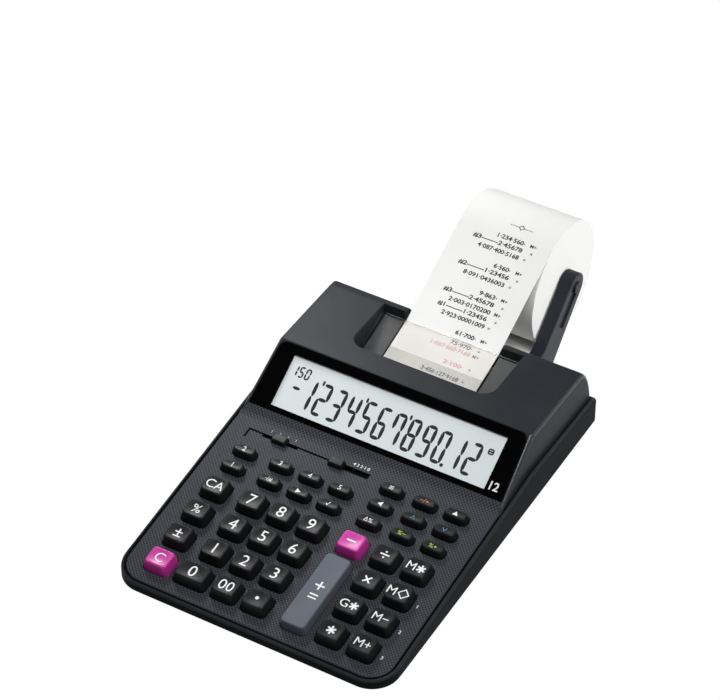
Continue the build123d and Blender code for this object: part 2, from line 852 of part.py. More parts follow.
# Roll holder: two bent arms, each with trunnions in its lugs and a hub in the roll's bore
arm_tilt = degrees(atan2(hub_height - elbow_height, hub_y - elbow_y))
with BuildPart() as arm:
    for first, first_radius, second, second_radius in (
        ((pivot_y, pivot_height), pivot_eye_radius, (elbow_y, elbow_height), elbow_radius),
        ((elbow_y, elbow_height), elbow_radius, (hub_y, hub_height), tip_radius),
    ):
        with BuildSketch(Plane.YZ.offset(arm_inner)) as limb:
            with Locations(first):
                Circle(first_radius)
            with Locations(second):
                Circle(second_radius)
            make_hull()
        extrude(amount=arm_thickness)
    with BuildSketch(Plane.YZ.offset(arm_outer)):
        with Locations(Location((hub_y, hub_height), arm_tilt)):
            Rectangle(arm_channel_length, arm_channel_width, align=(Align.MAX, Align.CENTER))
            Circle(arm_channel_width / 2)
    extrude(amount=-arm_channel_depth, mode=Mode.SUBTRACT)
    with BuildSketch(Plane.YZ.offset(arm_outer - arm_channel_depth)):
        with Locations((hub_y, hub_height)):
            Circle(hub_head_radius)
    extrude(amount=arm_channel_depth + hub_head_rise)
    with BuildSketch(Plane.YZ.offset(arm_inner)):
        with Locations((hub_y, hub_height)):
            Circle(roll_bore - running_gap)
    extrude(amount=-(arm_side_gap + hub_length))
    with BuildSketch(Plane.YZ.offset(inner_lug_x)):
        with Locations((pivot_y, pivot_height)):
            Circle(pivot_pin_radius)
    extrude(amount=outer_lug_x + lug_thickness - inner_lug_x)
finish(arm.part, "right_arm")

with BuildPart() as left_arm:
    add(arm.part)
    mirror(about=Plane.YZ, mode=Mode.REPLACE)
finish(left_arm.part, "left_arm")
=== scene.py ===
from math import asin, atan2, cos, pi, radians, sin, sqrt

import bmesh
import bpy
from mathutils import Matrix, Vector


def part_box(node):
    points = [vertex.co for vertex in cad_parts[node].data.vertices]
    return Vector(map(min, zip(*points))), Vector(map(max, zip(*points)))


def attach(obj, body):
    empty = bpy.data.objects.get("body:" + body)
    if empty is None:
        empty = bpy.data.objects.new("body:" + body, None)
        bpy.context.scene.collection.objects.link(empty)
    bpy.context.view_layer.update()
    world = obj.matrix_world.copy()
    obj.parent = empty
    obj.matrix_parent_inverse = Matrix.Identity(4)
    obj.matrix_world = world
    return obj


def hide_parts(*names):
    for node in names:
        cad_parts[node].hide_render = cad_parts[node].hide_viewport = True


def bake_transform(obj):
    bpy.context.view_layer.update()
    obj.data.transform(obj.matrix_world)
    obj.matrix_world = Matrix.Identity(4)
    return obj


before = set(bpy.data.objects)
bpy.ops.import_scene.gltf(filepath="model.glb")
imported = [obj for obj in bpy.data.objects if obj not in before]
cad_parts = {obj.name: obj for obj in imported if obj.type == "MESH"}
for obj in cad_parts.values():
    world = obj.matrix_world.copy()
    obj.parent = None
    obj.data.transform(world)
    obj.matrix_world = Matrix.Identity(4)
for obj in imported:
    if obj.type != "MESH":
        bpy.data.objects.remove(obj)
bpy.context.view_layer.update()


# Lower case: the moulded tray that carries everything and stands on four feet.
# Fine-grained charcoal plastic from one mould; its rim shows as a rounded bead round
# the keypad and along the sides.

mm = 0.001


def tone(red, green, blue):
    """A colour written in screen values, as the linear colour that a shader takes."""
    share = (red / 255, green / 255, blue / 255)
    return tuple(v / 12.92 if v < 0.04 else ((v + 0.055) / 1.055) ** 2.4 for v in share) + (1.0,)


def activate(piece):
    """Makes a piece the only one selected, and the active one."""
    bpy.ops.object.select_all(action="DESELECT")
    piece.select_set(True)
    bpy.context.view_layer.objects.active = piece


def new_piece(name, mesh):
    """A new piece with its own copy of a mesh."""
    piece = bpy.data.objects.new(name, mesh.copy())
    bpy.context.scene.collection.objects.link(piece)
    return piece


def own_copy(node, name, merged=None):
    """A copy of a CAD node as a new piece, its triangles merged to whole faces where merged() says."""
    piece = new_piece(name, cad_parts[node].data)
    piece.data.materials.clear()
    activate(piece)
    bpy.ops.mesh.customdata_custom_splitnormals_clear()
    bpy.ops.object.mode_set(mode="EDIT")
    bpy.ops.mesh.select_all(action="SELECT")
    bpy.ops.mesh.remove_doubles(threshold=0.002 * mm)
    if merged:
        pick_faces(piece, merged)
    bpy.ops.mesh.dissolve_limited(angle_limit=radians(0.5))
    bpy.ops.object.mode_set(mode="OBJECT")
    return piece


def pick_edges(piece, test):
    """In edit mode, selects the edges that test() takes by their middle and the turn of their faces."""
    bpy.ops.mesh.select_mode(type="EDGE")
    bpy.ops.mesh.select_all(action="DESELECT")
    for edge in bmesh.from_edit_mesh(piece.data).edges:
        middle = (edge.verts[0].co + edge.verts[1].co) / 2
        if test(middle, edge.calc_face_angle(0.0)):
            edge.select_set(True)
    bmesh.update_edit_mesh(piece.data)


def pick_faces(piece, test):
    """In edit mode, selects the faces that test() takes by their middle and normal."""
    bpy.ops.mesh.select_mode(type="FACE")
    bpy.ops.mesh.select_all(action="DESELECT")
    for face in bmesh.from_edit_mesh(piece.data).faces:
        if test(face.calc_center_median(), face.normal):
            face.select_set(True)
    bmesh.update_edit_mesh(piece.data)


def round_edges(piece, radius, steps, test):
    """Rounds the edges of a piece that test() takes."""
    activate(piece)
    bpy.ops.object.mode_set(mode="EDIT")
    pick_edges(piece, test)
    bpy.ops.mesh.bevel(offset=radius, segments=steps, affect="EDGES", clamp_overlap=False)
    bpy.ops.object.mode_set(mode="OBJECT")


def smooth(piece, angle=32.0):
    """Shades a piece smooth apart from edges sharper than angle, with its large faces kept flat."""
    activate(piece)
    bpy.ops.object.shade_smooth_by_angle(angle=radians(angle))
    flat = piece.modifiers.new("flat_faces", "WEIGHTED_NORMAL")
    flat.keep_sharp = True
    bpy.ops.object.modifier_apply(modifier=flat.name)


def new_group(name, inputs, outputs):
    """An empty shader node group with its sockets, each given as a name and a kind."""
    group = bpy.data.node_groups.new(name, "ShaderNodeTree")
    for in_out, sockets in (("INPUT", inputs), ("OUTPUT", outputs)):
        for socket, kind in sockets:
            group.interface.new_socket(socket, in_out=in_out, socket_type="NodeSocket" + kind)
    return group, group.nodes.new("NodeGroupInput"), group.nodes.new("NodeGroupOutput")


def add_node(tree, kind, **settings):
    """Adds a node to a node tree, with its settings."""
    node = tree.nodes.new("ShaderNode" + kind)
    for setting, value in settings.items():
        setattr(node, setting, value)
    return node


def add_noise(tree, scale, detail):
    """A noise texture on Object coordinates; scale is in cycles a metre, or None to be linked."""
    place = add_node(tree, "TexCoord")
    noise = add_node(tree, "TexNoise")
    noise.inputs["Detail"].default_value = detail
    if scale:
        noise.inputs["Scale"].default_value = scale
    tree.links.new(place.outputs["Object"], noise.inputs["Vector"])
    return noise


def add_range(tree, source, low, high, to_low, to_high):
    """Stretches a value from low..high to to_low..to_high, and gives its output."""
    stretch = add_node(tree, "MapRange")
    for socket, value in zip(("From Min", "From Max", "To Min", "To Max"), (low, high, to_low, to_high)):
        stretch.inputs[socket].default_value = value
    tree.links.new(source, stretch.inputs["Value"])
    return stretch.outputs["Result"]


def add_mix(tree, factor, first, second):
    """Mixes two colour outputs or values by a factor output, and gives the colour."""
    mix = add_node(tree, "Mix", data_type="RGBA")
    tree.links.new(factor, mix.inputs[0])
    for socket, colour in ((mix.inputs[6], first), (mix.inputs[7], second)):
        if isinstance(colour, tuple):
            socket.default_value = colour
        else:
            tree.links.new(colour, socket)
    return mix.outputs[2]


# Moulded grain: a tone that drifts over the moulding, and the spark-eroded skin of the tool
moulded_grain, grain_in, grain_out = new_group(
    "moulded_grain",
    (("Base", "Color"), ("Bloom", "Color"), ("Grain", "Float"), ("Matt", "Float")),
    (("Color", "Color"), ("Roughness", "Float"), ("Height", "Float")),
)
drift = add_noise(moulded_grain, 24.0, 3.0)
skin = add_noise(moulded_grain, None, 2.0)
moulded_grain.links.new(grain_in.outputs["Grain"], skin.inputs["Scale"])
drift_share = add_range(moulded_grain, drift.outputs["Fac"], 0.35, 0.65, 0.0, 1.0)
grain_colour = add_mix(moulded_grain, drift_share, grain_in.outputs["Base"], grain_in.outputs["Bloom"])
sheen_drift = add_range(moulded_grain, skin.outputs["Fac"], 0.3, 0.7, -0.06, 0.06)
sheen = add_node(moulded_grain, "Math", operation="ADD")
moulded_grain.links.new(grain_in.outputs["Matt"], sheen.inputs[0])
moulded_grain.links.new(sheen_drift, sheen.inputs[1])
moulded_grain.links.new(grain_colour, grain_out.inputs["Color"])
moulded_grain.links.new(sheen.outputs[0], grain_out.inputs["Roughness"])
moulded_grain.links.new(skin.outputs["Fac"], grain_out.inputs["Height"])


def new_finish(name):
    """A new material, and its node tree and shader."""
    finish = bpy.data.materials.new(name)
    finish.use_nodes = True
    return finish, finish.node_tree, finish.node_tree.nodes["Principled BSDF"]


def add_bump(tree, shader, height, depth, strength):
    """Raises a height output by depth on a shader's normal."""
    bump = add_node(tree, "Bump")
    bump.inputs["Strength"].default_value = strength
    bump.inputs["Distance"].default_value = depth
    tree.links.new(height, bump.inputs["Height"])
    tree.links.new(bump.outputs["Normal"], shader.inputs["Normal"])


def add_skin(tree, base, bloom, grain, matt):
    """Adds the moulded grain to a node tree, with two tones and so many cycles a metre."""
    skin_group = add_node(tree, "Group", node_tree=moulded_grain)
    skin_group.inputs["Base"].default_value = tone(*base)
    skin_group.inputs["Bloom"].default_value = tone(*bloom)
    skin_group.inputs["Grain"].default_value = grain
    skin_group.inputs["Matt"].default_value = matt
    return skin_group


def grained_finish(name, base, bloom, grain, matt, depth, **sockets):
    """A moulded finish of two close tones, with a grain so deep and other sockets by name."""
    finish, tree, shader = new_finish(name)
    skin_group = add_skin(tree, base, bloom, grain, matt)
    tree.links.new(skin_group.outputs["Color"], shader.inputs["Base Color"])
    tree.links.new(skin_group.outputs["Roughness"], shader.inputs["Roughness"])
    add_bump(tree, shader, skin_group.outputs["Height"], depth, 0.6)
    for socket, value in sockets.items():
        shader.inputs[socket.replace("_", " ")].default_value = value
    return finish


case_finish = grained_finish(
    "case_charcoal", (41, 44, 48), (46, 49, 53), 2600.0, 0.38, 0.05 * mm, Specular_IOR_Level=0.07
)
# A darker, nearly matt copy of the case charcoal for the tray, which paints shade on its walls
tray_shade_finish = grained_finish(
    "tray_charcoal_painted_shade", (28, 30, 34), (33, 35, 39), 2600.0, 0.4, 0.05 * mm, Specular_IOR_Level=0.008
)
# Near-black finish that paints the shade in the key holes, the switch slots and the seams
painted_shade_finish = grained_finish(
    "painted_shade_black", (8, 8, 9), (12, 12, 13), 2600.0, 0.6, 0.03 * mm, Specular_IOR_Level=0.05
)

panel_tilt = radians(8.0)
front_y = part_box("lower_case")[0][1]
rim_height = 7.2 * mm
panel_frame = Matrix.Translation((0, front_y, rim_height)) @ Matrix.Rotation(panel_tilt, 4, "X")
panel_inverse = panel_frame.inverted()
side_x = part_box("lower_case")[1][0]
case_length = 230.0 * mm
rear_y = front_y + case_length
rear_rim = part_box("lower_case")[1][2]
front_corner = 16.0 * mm
rim_wall, rim_low = 2.0 * mm, 5.0 * mm
skirt_low, skirt_high = 1.0 * mm, 11.0 * mm
skirt_x, skirt_front = 78.0 * mm, 6.0 * mm

# Limits that the tests below share: how near a place, how sharp a turn, how square a face
close, near = 0.1 * mm, 0.5 * mm
sharp_turn = radians(60)
square_on = 0.9


def rim_inset(place):
    """How far a place on the rim lies inside the case's outline."""
    past_x = abs(place.x) - side_x + front_corner
    past_y = front_y + front_corner - place.y
    if past_x > 0 and past_y > 0:
        return front_corner - Vector((past_x, past_y)).length
    return min(side_x - abs(place.x), place.y - front_y, rear_y - place.y)


def on_rim(middle, turn):
    """Edges of the rim's top."""
    near_top = abs((panel_inverse @ middle).z) < close or abs(middle.z - rear_rim) < close
    return near_top and turn > radians(40) and middle.z > rim_low


def on_outer_rim(middle, turn):
    """The outer edge of the rim's top."""
    return on_rim(middle, turn) and rim_inset(middle) < near


def on_inner_rim(middle, turn):
    """The inner edge of the rim's top, along the seam."""
    return on_rim(middle, turn) and rim_wall - near < rim_inset(middle) < rim_wall + near


def on_underside(middle, turn):
    """The lower edges of the front and of the long sides, which are drawn in towards the back."""
    outside = abs(middle.x) > skirt_x or middle.y < front_y + skirt_front
    return turn > radians(30) and skirt_low < middle.z < skirt_high and outside


def on_rear_corner(middle, turn):
    """The upright edges at the two rear corners."""
    return turn > sharp_turn and middle.y > rear_y - close and abs(middle.x) > side_x - close


def off_rear(middle, normal):
    """The faces other than the back wall, which has the paper's slot and the power inlet in it."""
    return normal.y < square_on or middle.y < rear_y - near


lower_case = own_copy("lower_case", "lower_case_moulding", off_rear)
round_edges(lower_case, 1.0 * mm, 3, on_rear_corner)
round_edges(lower_case, 1.2 * mm, 5, on_outer_rim)
round_edges(lower_case, 0.6 * mm, 3, on_inner_rim)
round_edges(lower_case, 0.5 * mm, 3, on_underside)

# The rim's rear end is rounded down to the back wall
rear_round = 5.0 * mm
rear_cuts = (4.4, 3.4, 2.6, 1.6, 0.9, 0.4)
fall_from, fall_over = 24.0 * mm, 3.5 * mm


def part_way(value, start, run):
    """How far a value has come from start along run, from 0 to 1."""
    return min(1.0, max(0.0, (value - start) / run))


activate(lower_case)
bpy.ops.object.mode_set(mode="EDIT")
for back in rear_cuts:
    bpy.ops.mesh.select_all(action="SELECT")
    bpy.ops.mesh.bisect(plane_co=(0, rear_y - back * mm, 0), plane_no=(0, 1, 0))
bpy.ops.object.mode_set(mode="OBJECT")
for vertex in lower_case.data.vertices:
    past = max(0.0, vertex.co.y - rear_y + rear_round)
    drop = rear_round - sqrt(max(0.0, rear_round ** 2 - past ** 2))
    vertex.co.z -= drop * part_way(vertex.co.z, fall_from, fall_over)
smooth(lower_case)

# The rim's bead takes the paler, glossier case charcoal as painted highlight, and the slope inside
# it a near-black finish as painted shade of the seam
bead_width, bead_height, seam_width = 1.3 * mm, 1.6 * mm, 2.2 * mm
for finish in (tray_shade_finish, case_finish, painted_shade_finish):
    lower_case.data.materials.append(finish)
for face in lower_case.data.polygons:
    inset = rim_inset(face.center)
    sloped = 0.2 < face.normal.z < 0.98
    panel_height = (panel_inverse @ face.center).z
    at_top = panel_height > -bead_height or face.center.z > rear_rim - bead_height
    if at_top and inset < bead_width:
        face.material_index = 1
    elif at_top and sloped and inset < seam_width:
        face.material_index = 2
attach(lower_case, "case")
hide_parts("lower_case")


# Foot pads: four soft rubber discs pressed over the feet of the tray.
# Dark grey rubber, with a rounded lower edge.

rubber_finish = grained_finish("pad_rubber", (30, 30, 31), (38, 38, 39), 1800.0, 0.75, 0.04 * mm)
pad_radius = 5.25 * mm
pad_height = 1.1 * mm
foot_x = 65.5 * mm
foot_inset = 17.0 * mm
for corner, (x, y) in enumerate(
    (side, end) for side in (-foot_x, foot_x) for end in (front_y + foot_inset, rear_y - foot_inset)
):
    bpy.ops.object.select_all(action="DESELECT")
    bpy.ops.mesh.primitive_cylinder_add(
        vertices=48, radius=pad_radius, depth=pad_height, location=(x, y, pad_height / 2)
    )
    pad = bpy.context.object
    pad.name = f"foot_pad_{corner + 1}"
    bpy.ops.object.transform_apply()
    bpy.ops.object.mode_set(mode="EDIT")
    pick_faces(pad, lambda middle, normal: normal.z < -square_on)
    bpy.ops.mesh.inset(thickness=1.4 * mm)
    bpy.ops.mesh.inset(thickness=0.25 * mm, depth=-0.2 * mm)
    pick_edges(pad, lambda middle, turn: turn > sharp_turn and middle.z < close)
    bpy.ops.mesh.bevel(offset=0.2 * mm, segments=2, affect="EDGES")
    bpy.ops.object.mode_set(mode="OBJECT")
    smooth(pad)
    pad.data.materials.append(rubber_finish)
    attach(pad, "case")


# Battery door: a plate that runs out at the back in its slot, with grip grooves.
# The same plastic as the tray, moulded apart, in the tray's darker copy of the charcoal that paints shade.

door_underside = 1.3 * mm
battery_door = own_copy("battery_door", "battery_door_plate")
round_edges(
    battery_door, 0.2 * mm, 2, lambda middle, turn: turn > sharp_turn and middle.z < door_underside
)
smooth(battery_door)
battery_door.data.materials.append(tray_shade_finish)
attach(battery_door, "battery_door")
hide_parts("battery_door")


# Upper case: key panel, display riser and printer deck in one moulding, set into the tray.
# The same charcoal plastic; the key panel carries a fine raised lattice from the tool, and
# everything else is lightly grained. The panel is painted paler than the rest, as painted sheen,
# with painted shade in its lattice grooves, holes and seam, and painted highlight on the bevels.

# A paler, glossier copy of the case charcoal for the housing's bevels: painted highlight along its edges
edge_highlight_finish = grained_finish(
    "case_edge_painted_highlight", (46, 49, 53), (51, 54, 58), 2600.0, 0.3, 0.03 * mm, Specular_IOR_Level=0.5
)

# Lattice: small raised cushions on a diagonal grid, and a mask of the grooves between them for painted shade
panel_lattice, lattice_in, lattice_out = new_group(
    "panel_lattice", (("Pitch", "Float"),), (("Height", "Float"), ("Groove Shade", "Float"))
)
lattice_place = add_node(panel_lattice, "TexCoord")
lattice_waves = []
for turn in (pi / 4, -pi / 4):
    turned = add_node(panel_lattice, "Mapping")
    turned.inputs["Rotation"].default_value = (0.0, 0.0, turn)
    wave = add_node(panel_lattice, "TexWave", wave_type="BANDS", bands_direction="X", wave_profile="SIN")
    panel_lattice.links.new(lattice_place.outputs["Object"], turned.inputs["Vector"])
    panel_lattice.links.new(turned.outputs["Vector"], wave.inputs["Vector"])
    panel_lattice.links.new(lattice_in.outputs["Pitch"], wave.inputs["Scale"])
    lattice_waves.append(wave.outputs["Fac"])
cushion = add_node(panel_lattice, "Math", operation="MULTIPLY")
panel_lattice.links.new(lattice_waves[0], cushion.inputs[0])
panel_lattice.links.new(lattice_waves[1], cushion.inputs[1])
panel_lattice.links.new(cushion.outputs[0], lattice_out.inputs["Height"])
panel_lattice.links.new(
    add_range(panel_lattice, cushion.outputs[0], 0.0, 0.45, 1.0, 0.0), lattice_out.inputs["Groove Shade"]
)

# The length of a wave texture's wave at scale 1, and the lattice's pitch
wave_unit, lattice_pitch = 0.314, 1.5 * mm
panel_finish, tree, shader = new_finish("panel_lattice_painted_sheen")
lattice = add_node(tree, "Group", node_tree=panel_lattice)
lattice.inputs["Pitch"].default_value = wave_unit / lattice_pitch
# The panel's charcoal is painted paler than the rest of the moulding, as painted sheen
panel_sheen_skin = add_skin(tree, (66, 68, 75), (72, 74, 81), 2600.0, 0.46)
# The lattice's grooves are painted darker, as painted shade
tree.links.new(
    add_mix(tree, lattice.outputs["Groove Shade"], panel_sheen_skin.outputs["Color"], tone(42, 44, 48)),
    shader.inputs["Base Color"],
)
tree.links.new(panel_sheen_skin.outputs["Roughness"], shader.inputs["Roughness"])
shader.inputs["Specular IOR Level"].default_value = 0.08
add_bump(tree, shader, lattice.outputs["Height"], 0.11 * mm, 0.8)

riser_run = 125.2 * mm
riser_foot_y = front_y + riser_run
riser_tilt = radians(32.3)
riser_up = Vector((0, -sin(riser_tilt), cos(riser_tilt)))
keys_front, keys_back, keys_side = 8.0 * mm, 124.0 * mm, 71.5 * mm
housing_low, housing_side = 29.3 * mm, 74.0 * mm
bay_mouth, bay_half = 46.9 * mm, 45.0 * mm


def on_panel_border(middle, turn):
    """The outer edge of the key panel, down both sides and round the front."""
    place = panel_inverse @ middle
    at_border = place.y < keys_front or abs(place.x) > keys_side
    return abs(place.z) < close and at_border and turn > radians(40) and middle.y < riser_foot_y


def beside_deck(place):
    """Whether a place is on the side of the riser or the deck."""
    return place.z > housing_low and abs(place.x) > housing_side


def on_housing(middle, turn):
    """The bevelled edges of the riser and the deck."""
    return radians(18) < turn < radians(75) and beside_deck(middle)


def on_hole(middle, turn):
    """The mouths of the key holes and switch slots."""
    place = panel_inverse @ middle
    inside = keys_front < place.y < keys_back and abs(place.x) < keys_side
    return abs(place.z) < close / 2 and inside and turn > sharp_turn


def on_bay(middle, turn):
    """The mouth of the printer bay in the deck."""
    return turn > radians(50) and middle.z > bay_mouth and abs(middle.x) < bay_half


def off_riser(middle, normal):
    """The faces that don't lie along the riser; those are rings round the display."""
    return abs(normal.dot(riser_up)) < 0.999


upper_case = own_copy("upper_case", "upper_case_moulding", off_riser)

# The deck runs on level to the back, and its tail falls to the rim in a full curve
deck_front_y, deck_run, deck_lift = -0.1 * mm, 56.6 * mm, 2.0 * mm
tail_start, tail_reach, tail_fall = 54.3 * mm, 9.2 * mm, 20.4 * mm
# Where the tail's faces and points lie, and the heights over which the lift comes in
tail_half, tail_face_y, tail_point_y = 79.9 * mm, 51.9 * mm, 53.3 * mm
tail_rise, deck_floor, deck_skin = 11.0 * mm, 44.2 * mm, 1.5 * mm
# The walls beside the bay keep their place, and the bevel along the leaning side walls stays inside
bay_wall_in, bay_wall_out = 44.0 * mm, 46.0 * mm
wall_top_x, wall_top_z, wall_lean, wall_skin = 78.32 * mm, 46.27 * mm, 0.0875, 0.6 * mm
bevel_back, bevel_down = 1.0 * mm, 1.2 * mm


def on_tail_face(face):
    """The faces that fall from the deck to the rear rim."""
    middle = face.calc_center_median()
    behind = face.normal.y > 0.05 and middle.y > tail_face_y
    return behind and middle.z > rear_rim and abs(middle.x) < tail_half


tail_shape = bmesh.new()
tail_shape.from_mesh(upper_case.data)
tail_points = set()
for face in filter(on_tail_face, tail_shape.faces):
    for point in face.verts:
        if point.co.z > rear_rim + 2 * close and point.co.y > tail_point_y:
            tail_points.add(point)
for point in tail_shape.verts:
    on_tail = point in tail_points
    lift_from, lift_over = (rear_rim, tail_rise) if on_tail else (deck_floor, deck_skin)
    near_top = part_way(point.co.z, lift_from, lift_over)
    point.co.z += deck_lift * part_way(point.co.y, deck_front_y, deck_run) * near_top
    if on_tail and not bay_wall_in < abs(point.co.x) < bay_wall_out:
        wall_x = wall_top_x + (wall_top_z - point.co.z) * wall_lean
        beside = abs(point.co.x) > wall_x - wall_skin
        reach = tail_reach - bevel_back if beside else tail_reach
        fall = tail_fall - bevel_down if beside else tail_fall
        share_up = min(1.0, (point.co.z - rear_rim) / fall)
        point.co.y = tail_start + reach * sqrt(1 - share_up ** 2)
tail_shape.to_mesh(upper_case.data)
tail_shape.free()
round_edges(upper_case, 1.2 * mm, 4, on_panel_border)
round_edges(upper_case, 0.8 * mm, 2, on_housing)
round_edges(upper_case, 0.5 * mm, 3, on_bay)
round_edges(upper_case, 0.15 * mm, 1, on_hole)
smooth(upper_case)

# The lattice covers the panel up to the riser's cove; holes and seam take a near-black finish as
# painted shade, and the housing's bevels a paler, glossier one as painted highlight
cove_rise, cove_run = 4.0 * mm, 6.0 * mm
hole_depth, hole_mouth, hole_side = 3.0 * mm, 0.03 * mm, 71.0 * mm
seam_depth, seam_mouth = 4.0 * mm, 0.3 * mm
panel_up = Vector((0, -sin(panel_tilt), cos(panel_tilt)))
for finish in (case_finish, panel_finish, painted_shade_finish, edge_highlight_finish):
    upper_case.data.materials.append(finish)
for face in upper_case.data.polygons:
    place = panel_inverse @ face.center
    on_panel = face.normal.dot(panel_up) > square_on and -close < place.z < cove_rise
    among_keys = abs(place.x) < hole_side and keys_front < place.y < keys_back
    in_hole = among_keys and -hole_depth < place.z < -hole_mouth
    in_seam = -seam_depth < place.z < -seam_mouth and face.center.y < riser_foot_y
    if on_panel and face.center.y < riser_foot_y + cove_run:
        face.material_index = 1
    elif in_hole or in_seam:
        face.material_index = 2
    elif beside_deck(face.center) and 0.25 < abs(face.normal.x) < 0.97:
        face.material_index = 3
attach(upper_case, "case")
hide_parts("upper_case")


# Display: a glossy black bezel let into the riser, the liquid crystal panel behind its
# window, and the dark segments that stand in it. The bezel is polished acrylic with its
# back painted; the panel is glass over a pale grey reflector.

riser_foot_z = rim_height + riser_run * sin(panel_tilt) / cos(panel_tilt)
riser_frame = Matrix.Translation((0, riser_foot_y, riser_foot_z)) @ Matrix.Rotation(riser_tilt, 4, "X")
bezel_thickness = 1.2 * mm

bezel_finish = grained_finish(
    "bezel_gloss_black", (2, 2, 3), (4, 4, 5), 350.0, 0.14, 0.004 * mm, Specular_IOR_Level=0.05
)
bezel = own_copy("display_bezel", "display_bezel_plate", off_riser)
riser_inverse = riser_frame.inverted()
round_edges(
    bezel, 0.3 * mm, 2,
    lambda middle, turn: turn > sharp_turn and abs((riser_inverse @ middle).z) < close / 2,
)
smooth(bezel)
bezel.data.materials.append(bezel_finish)

white_ink = grained_finish("white_ink", (226, 227, 228), (236, 236, 236), 900.0, 0.5, 0.01 * mm)
capital_share = 0.69
print_lift = 0.02 * mm


def printed_sign(text, height, ink, thickness=0.06 * mm, gain=0.0):
    """A flat sign of the given capital height, its middle at the origin, facing up."""
    bpy.ops.object.select_all(action="DESELECT")
    bpy.ops.object.text_add()
    sign = bpy.context.object
    sign.data.body = text
    sign.data.size = height / capital_share
    sign.data.offset = gain
    sign.data.extrude = thickness / 2
    sign.data.resolution_u = 3
    bpy.ops.object.convert(target="MESH")
    sign = bpy.context.object
    corners = [Vector(corner) for corner in sign.bound_box]
    sign.data.transform(Matrix.Translation(-sum(corners, Vector()) / 8))
    sign.data.materials.clear()
    sign.data.materials.append(ink)
    return sign


def join_to(piece, parts):
    """Joins parts to a piece, as one mesh with all their finishes."""
    activate(piece)
    for part in parts:
        part.select_set(True)
    bpy.ops.object.join()


bezel_sign = printed_sign("12", 4.6 * mm, white_ink, gain=0.12 * mm)
bezel_sign.data.transform(riser_frame @ Matrix.Translation((70.6 * mm, 12.4 * mm, print_lift)))
join_to(bezel, [bezel_sign])
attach(bezel, "case")
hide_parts("display_bezel")

lcd_finish = grained_finish(
    "lcd_reflector", (221, 229, 231), (225, 233, 235), 5200.0, 0.3, 0.004 * mm, Coat_Weight=0.3
)
lcd_panel = own_copy("lcd_panel", "lcd_glass_panel")
round_edges(lcd_panel, 0.2 * mm, 2, lambda middle, turn: turn > sharp_turn)
smooth(lcd_panel)
lcd_panel.data.materials.append(lcd_finish)
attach(lcd_panel, "case")
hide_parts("lcd_panel")

# Segments: one pointed bar, copied to each lit place
segment_ink = grained_finish("segment_black", (18, 21, 22), (24, 27, 28), 3000.0, 0.45, 0.004 * mm)
digit_strokes = {
    "0": "abcdef", "1": "bc", "2": "abged", "3": "abgcd", "4": "fgbc", "5": "afgcd",
    "6": "afgedc", "7": "fabc", "8": "abcdefg", "9": "abcdfg",
}
bpy.ops.object.select_all(action="DESELECT")
bpy.ops.mesh.primitive_cube_add(size=1.0)
bar_master = bpy.context.object
bar_master.name = "lcd_segments"
bpy.ops.object.mode_set(mode="EDIT")
pick_edges(bar_master, lambda middle, turn: abs(middle.x) > 0.4 and abs(middle.y) > 0.4)
bpy.ops.mesh.bevel(offset=0.28, segments=1, affect="EDGES")
bpy.ops.object.mode_set(mode="OBJECT")
lcd_depth = -bezel_thickness
segment_height = 0.05 * mm
slant = radians(3.0)


def lay_bar(x, t, length, width, upright):
    """A copy of the bar on the liquid crystal panel, at x and t up the riser."""
    bar = new_piece("bar", bar_master.data)
    bar.data.transform(Matrix.Diagonal((length, width, segment_height, 1.0)))
    bar.data.transform(Matrix.Rotation(pi / 2 if upright else 0.0, 4, "Z"))
    bar.data.transform(riser_frame @ Matrix.Translation((x, t, lcd_depth)))
    return bar


def lay_digit(digit, x, base, width, height, stroke):
    """The lit bars of one digit; x is its middle and base its foot."""
    reach = (width - stroke) / 2
    half = (height - stroke) / 2
    gap = 0.12 * stroke
    strokes = {
        "a": (0, 2 * half, False), "g": (0, half, False), "d": (0, 0, False),
        "f": (-reach, 1.5 * half, True), "b": (reach, 1.5 * half, True),
        "e": (-reach, 0.5 * half, True), "c": (reach, 0.5 * half, True),
    }
    bars = []
    for name in digit_strokes[digit]:
        across, up, upright = strokes[name]
        length = half - gap if upright else 2 * reach - gap
        lean = (up - half) * sin(slant)
        bars.append(lay_bar(x + across + lean, base + stroke / 2 + up, length, stroke, upright))
    return bars


digit_pitch = 9.2 * mm
first_digit = -49.0 * mm
segments = []
for place, digit in enumerate("123456789012"):
    x = first_digit + place * digit_pitch
    segments += lay_digit(digit, x, base=12.3 * mm, width=6.9 * mm, height=19.0 * mm, stroke=2.0 * mm)
small_pitch, small_first = 3.9, -61.6
for place, digit in enumerate("150"):
    x = (small_first + small_pitch * place) * mm
    segments += lay_digit(digit, x, base=28.7 * mm, width=3.2 * mm, height=6.6 * mm, stroke=1.0 * mm)

# The minus sign, the point and the three marks between thousands
for x, t, length, width, upright in (
    (-56.5, 22.8, 4.3, 1.7, False),
    (38.0, 12.9, 2.0, 2.0, False),
    (-43.0, 30.8, 3.0, 1.3, True),
    (-15.8, 30.8, 3.0, 1.3, True),
    (11.1, 30.8, 3.0, 1.3, True),
):
    segments.append(lay_bar(x * mm, t * mm, length * mm, width * mm, upright))

# A small boxed sign at the right, with the bar that the others are copied from in its middle
box_x, box_t, box_half = 60.3, 29.3, 1.3
for across, up, upright in ((0, 1, False), (0, -1, False), (-1, 0, True), (1, 0, True), (0, 0, False)):
    x = (box_x + box_half * across) * mm
    segments.append(lay_bar(x, (box_t + box_half * up) * mm, 2.8 * mm, 0.9 * mm, upright))
bar_master.data.transform(Matrix.Diagonal((1.2 * mm, 0.8 * mm, segment_height, 1.0)))
bar_master.data.transform(riser_frame @ Matrix.Translation((box_x * mm, box_t * mm, lcd_depth)))
join_to(bar_master, segments)
bar_master.data.materials.append(segment_ink)
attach(bar_master, "case")


